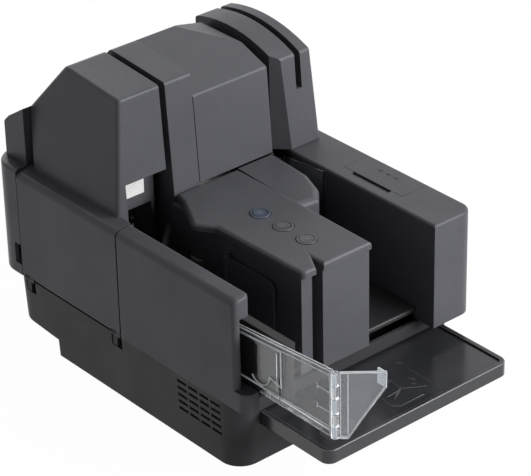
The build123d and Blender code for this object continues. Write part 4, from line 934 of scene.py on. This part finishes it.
@dataclass
class HopperGuide(Assembly):
    """Clear sliding guide and its flared wing: moulded edges, ribs, latch marks and a lip, whitish as
    painted highlights.
    """

    plain: ClassVar[dict[Slot, tuple[str, ...]]] = {
        Slot.CLEAR: ("clear_guide",),
        Slot.INNER: ("guide_tongue", "guide_rail"),
        Slot.STEEL: ("wing_pin",),
    }
    # Half clear, half near-white: painted highlight on the guide's and wing's edges, ribs, marks and
    # lip.
    moulded: ClassVar[Finish] = ClearPlastic("edge_painted_highlight", (0.96, 0.98, 1.0), 0.12, 0.5)
    milky: ClassVar[Finish] = ClearPlastic("wing_clear", (0.92, 0.95, 1.0), 0.05, 0.88)
    plate_x: tuple[float, float] = (6.4, 8.4)
    plate_z: tuple[float, float] = (58.2, 100.6)
    front: float = -72.7
    back: float = 40.0
    slope: float = 9.6
    step: float = 2.6
    sill: tuple[float, float] = (64.4, 61.8)
    foot_back: float = -22.4
    flange_x: float = 10.4
    flange_back: float = -17.5
    flange_top: float = 59.6
    edge: float = 0.4
    latch_z: tuple[float, ...] = (86.3, 73.6)
    latch_y: tuple[float, float] = (-72.3, -62.2)
    latch_tick: float = 1.6
    frame_x: float = 5.7
    frame_y: tuple[float, float] = (-32.6, 5.6)
    frame_top: tuple[float, float] = (94.0, 90.8)
    frame_foot: float = 70.7
    bowl: tuple[float, float, float] = (-14.8, 73.0, 8.2)
    axis: tuple[float, float] = (7.4, -75.2)
    wing_angle: float = 49.0
    wing_length: float = 28.0
    wing_root: tuple[float, float] = (2.9, 7.0)
    wing_tip_z: float = 91.0
    wing_half: float = 0.6
    lip: tuple[float, float] = (2.4, 0.9)
    turned_back: tuple[float, float] = (6.4, 1.1)

    def detail(self) -> None:
        """The guide's edges, ribs and latch marks, then the wing's, all whitish as painted
        highlights.
        """
        self.dress("guide_wing", self.milky)
        for name, path in self.guide_lines().items():
            self.bead("guide_" + name, path, (1.0, 0.0, 0.0), "clear_guide")
        for name, path in self.wing_lines().items():
            self.bead("wing_" + name, path, self.across(), "guide_wing")
        root, rib = self.wing_root
        low, tip = self.plate_z[0] + self.edge, self.wing_length - self.edge
        inside = tip - self.lip[1]
        foot = self.on_wing([(root, low, 0), (rib, low, 0), (inside, self.wing_tip_z, 0)])
        self.bar("wing_lip", foot, self.across(), self.lip)
        reach, thick = self.turned_back
        end = self.on_wing([(tip, self.wing_tip_z, 0), (tip, self.plate_z[1] - self.edge, 0)])
        self.bar("wing_return", end + (0, reach / 2, 0), (0.0, 1.0, 0.0), (reach, thick))

    def bead(self, name: str, path: np.ndarray, up: Point, body: str) -> None:
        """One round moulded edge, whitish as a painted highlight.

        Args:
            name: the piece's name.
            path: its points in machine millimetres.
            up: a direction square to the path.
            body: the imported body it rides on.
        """
        piece = solid(name, carry(circle_section(self.edge), path, up), self.moulded, body)

    def bar(self, name: str, path: np.ndarray, up: Point, size: tuple[float, float]) -> None:
        """One flat moulded lip of the wing, whitish as a painted highlight.

        Args:
            name: the piece's name.
            path: its points in machine millimetres.
            up: the direction of its width, square to the path.
            size: its width and thickness.
        """
        wide, thick = size
        section = np.array([(-thick, -wide), (thick, -wide), (thick, wide), (-thick, wide)]) / 2
        piece = solid(name, carry(section, path, up), self.moulded, "guide_wing")

    def guide_lines(self) -> dict[str, np.ndarray]:
        """Edges of the plate and its flange, the frame with its finger bowl and two latch marks."""
        left, right = self.plate_x
        low, high = self.plate_z[0] + self.edge, self.plate_z[1] - self.edge
        front, back = self.front + self.edge, self.back - self.edge
        flange, flange_top = self.flange_x - self.edge, self.flange_top
        sill, foot_back = self.sill, self.foot_back
        lines = {
            "top_outer": [(left, front, high), (left, back, high - self.slope)],
            "top_inner": [(right, front, high), (right, back, high - self.slope)],
            "top_step": [(left, front, high - self.step),
                         (left, back, high - self.slope - self.step)],
            "sill": [(left, front, sill[0]), (left, back, sill[1])],
            "foot_outer": [(left, front, low), (left, foot_back, low), (left, foot_back, sill[1])],
            "flange_edge": [(flange, front, flange_top), (flange, self.flange_back, flange_top)],
            "front_rib": [(left, front, low), (left, front, high)],
            "front_rib_inner": [(right, front, low), (right, front, high)],
            "frame": self.frame_line(),
        }
        (near, far), tick = self.latch_y, self.latch_tick
        for index, z in enumerate(self.latch_z):
            lines[f"latch_{index + 1}"] = [(left, near, z), (left, far, z)]
            lines[f"latch_{index + 1}_tick"] = [(left, far, z - tick), (left, far, z + tick)]
        return {name: np.array(path) for name, path in lines.items()}

    def frame_line(self) -> np.ndarray:
        """Front and top of the raised frame, then its foot with a round bowl for a fingertip."""
        (near, far), (high, low) = self.frame_y, self.frame_top
        y, z, radius = self.bowl
        turn = arc((0, 0, 0), radius, 325, 180, 12)
        x = self.frame_x
        bowl = np.column_stack([np.full(len(turn), x), y + turn[:, 0], z + turn[:, 1]])
        return np.vstack([bowl, [(x, near, self.frame_foot), (x, near, high), (x, far, low)]])

    def wing_lines(self) -> dict[str, np.ndarray]:
        """Edges of the wing and its rib beside the hinge."""
        low, high = self.plate_z[0] + 2 * self.edge, self.plate_z[1] - self.edge
        root, rib = self.wing_root
        tip = self.wing_length - self.edge
        half = self.wing_half
        lines = {
            "top_near": [(root, high, -half), (tip, high, -half)],
            "top_far": [(root, high, half), (tip, high, half)],
            "tip": [(tip, high, -half), (tip, self.wing_tip_z, -half)],
            "root": [(root, low, -half), (root, high, -half)],
            "rib": [(rib, low, -half), (rib, high, -half)],
        }
        return {name: self.on_wing(path) for name, path in lines.items()}

    def across(self) -> tuple[float, float, float]:
        """Direction square to the wing's face."""
        turn = math.radians(self.wing_angle)
        return (math.cos(turn), math.sin(turn), 0.0)

    def on_wing(self, points: Sequence[Point]) -> np.ndarray:
        """Points of the wing from its own directions.

        Args:
            points: distance from the hinge's axis, height, and distance from the face's middle.

        Returns:
            The axis plus the distance along the wing plus the distance across it.
        """
        turn = math.radians(self.wing_angle)
        out, height, off = np.array(points, dtype=float).T
        along = np.array([math.sin(turn), -math.cos(turn)])
        square = np.array(self.across()[:2])
        flat = np.array(self.axis) + out[:, None] * along + off[:, None] * square
        return np.column_stack([flat, height])


# ---- Stage ---------------------------------------------------------------------------------------
@dataclass(frozen=True)
class Lamp:
    """Square area lamp aimed at the object, in metres and watts."""

    name: str
    at: tuple[float, float, float]
    size: float
    watts: float
    aim: tuple[float, float, float] = (0.0, 0.0, 0.09)

    def build(self) -> None:
        """Make the lamp."""
        data = bpy.data.lights.new(self.name, "AREA")
        data.size = self.size
        data.energy = self.watts
        lamp = bpy.data.objects.new(self.name, data)
        bpy.context.scene.collection.objects.link(lamp)
        lamp.location = self.at
        lamp.rotation_mode = "QUATERNION"
        lamp.rotation_quaternion = (Vector(self.aim) - Vector(self.at)).to_track_quat("-Z", "Y")


@dataclass
class Studio:
    """Floor, soft lamps, white surroundings and the camera."""

    camera_at: tuple[float, float, float] = (-770.8, -945.4, 852.4)
    azimuth: float = 40.07
    elevation: float = 29.80
    roll: float = -1.28
    focal_px: float = 2593.3
    image_width_px: float = 531.0
    sensor_mm: float = 36.0
    ambient: float = 0.04
    floor_size: float = 12.0
    floor_shade: float = 0.6
    floor_white: float = 1.03
    floor_glow: float = 0.95
    clip: tuple[float, float] = (0.05, 50.0)
    lamps: tuple[Lamp, ...] = (
        Lamp("key", (0.8, -1.6, 0.75), 1.0, 39.0),
        Lamp("overhead", (0.45, 0.3, 1.6), 1.1, 5.4),
        Lamp("sheen", (1.1, -0.95, 1.3), 0.35, 9.0),
        Lamp("fill", (-1.3, 0.8, 0.7), 0.9, 1.8),
        Lamp("rear", (0.4, 1.6, 0.9), 1.0, 8.0),
    )

    def build(self) -> None:
        """Make the floor, the world, the lamps and the camera."""
        self.world()
        self.floor()
        for lamp in self.lamps:
            lamp.build()
        self.camera()
        bpy.context.scene.view_settings.view_transform = "Standard"

    @staticmethod
    def seen(tree: bpy.types.NodeTree) -> bpy.types.NodeSocket:
        """Socket that is 1 for camera, glossy and transmitted rays.

        Args:
            tree: the node tree it is made in.

        Returns:
            The socket.
        """
        path = tree.nodes.new("ShaderNodeLightPath")
        total = path.outputs["Is Camera Ray"]
        for name in ("Is Glossy Ray", "Is Transmission Ray"):
            high = tree.nodes.new("ShaderNodeMath")
            high.operation = "MAXIMUM"
            tree.links.new(total, high.inputs[0])
            tree.links.new(path.outputs[name], high.inputs[1])
            total = high.outputs[0]
        return total

    def world(self) -> None:
        """White surroundings that light the object softly."""
        world = bpy.data.worlds.new("surroundings")
        bpy.context.scene.world = world
        world.use_nodes = True
        tree = world.node_tree
        back = tree.nodes["Background"]
        back.inputs["Color"].default_value = (1, 1, 1, 1)
        level = tree.nodes.new("ShaderNodeMapRange")
        level.inputs["To Min"].default_value = self.ambient
        level.inputs["To Max"].default_value = 1.0
        tree.links.new(self.seen(tree), level.inputs["Value"])
        tree.links.new(level.outputs["Result"], back.inputs["Strength"])

    def floor(self) -> None:
        """Plain pale floor that is white to the camera and keeps a faint shadow."""
        half = self.floor_size / 2
        edge = [(-half, -half, 0), (half, -half, 0), (half, half, 0), (-half, half, 0)]
        mesh = bpy.data.meshes.new("floor")
        mesh.from_pydata(edge, [], [(0, 1, 2, 3)])
        floor = bpy.data.objects.new("floor", mesh)
        bpy.context.scene.collection.objects.link(floor)
        graph = Graph("pale_floor")
        paint = graph.node("BsdfDiffuse", {"Color": (self.floor_shade,) * 3})
        white = graph.node("Emission", {"Color": (1.0, 1.0, 1.0), "Strength": self.floor_white})
        share = graph.math("MULTIPLY", self.seen(graph.tree), self.floor_glow)
        mix = graph.node("MixShader", {0: share, 1: paint.outputs[0], 2: white.outputs[0]})
        mesh.materials.append(graph.finish(mix.outputs[0]))

    def camera(self) -> None:
        """Long lens high at the front left."""
        a, e, r = (math.radians(v) for v in (self.azimuth, self.elevation, self.roll))
        ahead = np.array([math.sin(a) * math.cos(e), math.cos(a) * math.cos(e), -math.sin(e)])
        level = np.array([math.cos(a), -math.sin(a), 0.0])
        right = level * math.cos(r) + np.cross(level, ahead) * math.sin(r)
        up = np.cross(right, ahead)
        data = bpy.data.cameras.new("camera")
        data.sensor_width = self.sensor_mm
        data.lens = self.focal_px * self.sensor_mm / self.image_width_px
        data.clip_start, data.clip_end = self.clip
        camera = bpy.data.objects.new("camera", data)
        bpy.context.scene.collection.objects.link(camera)
        turn = Matrix(np.column_stack([right, up, -ahead]).tolist()).to_4x4()
        turn.translation = place(np.array(self.camera_at)).tolist()
        camera.matrix_world = turn
        bpy.context.scene.camera = camera


def main() -> None:
    """Build the stage and the assemblies in order."""
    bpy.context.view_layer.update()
    Studio().build()
    assemblies = (LowerHousing(), Covers(), PaperPath(), ControlBlock(), EjectTray(), HopperGuide())
    for assembly in assemblies:
        assembly.build()


if __name__ == "__main__":
    main()
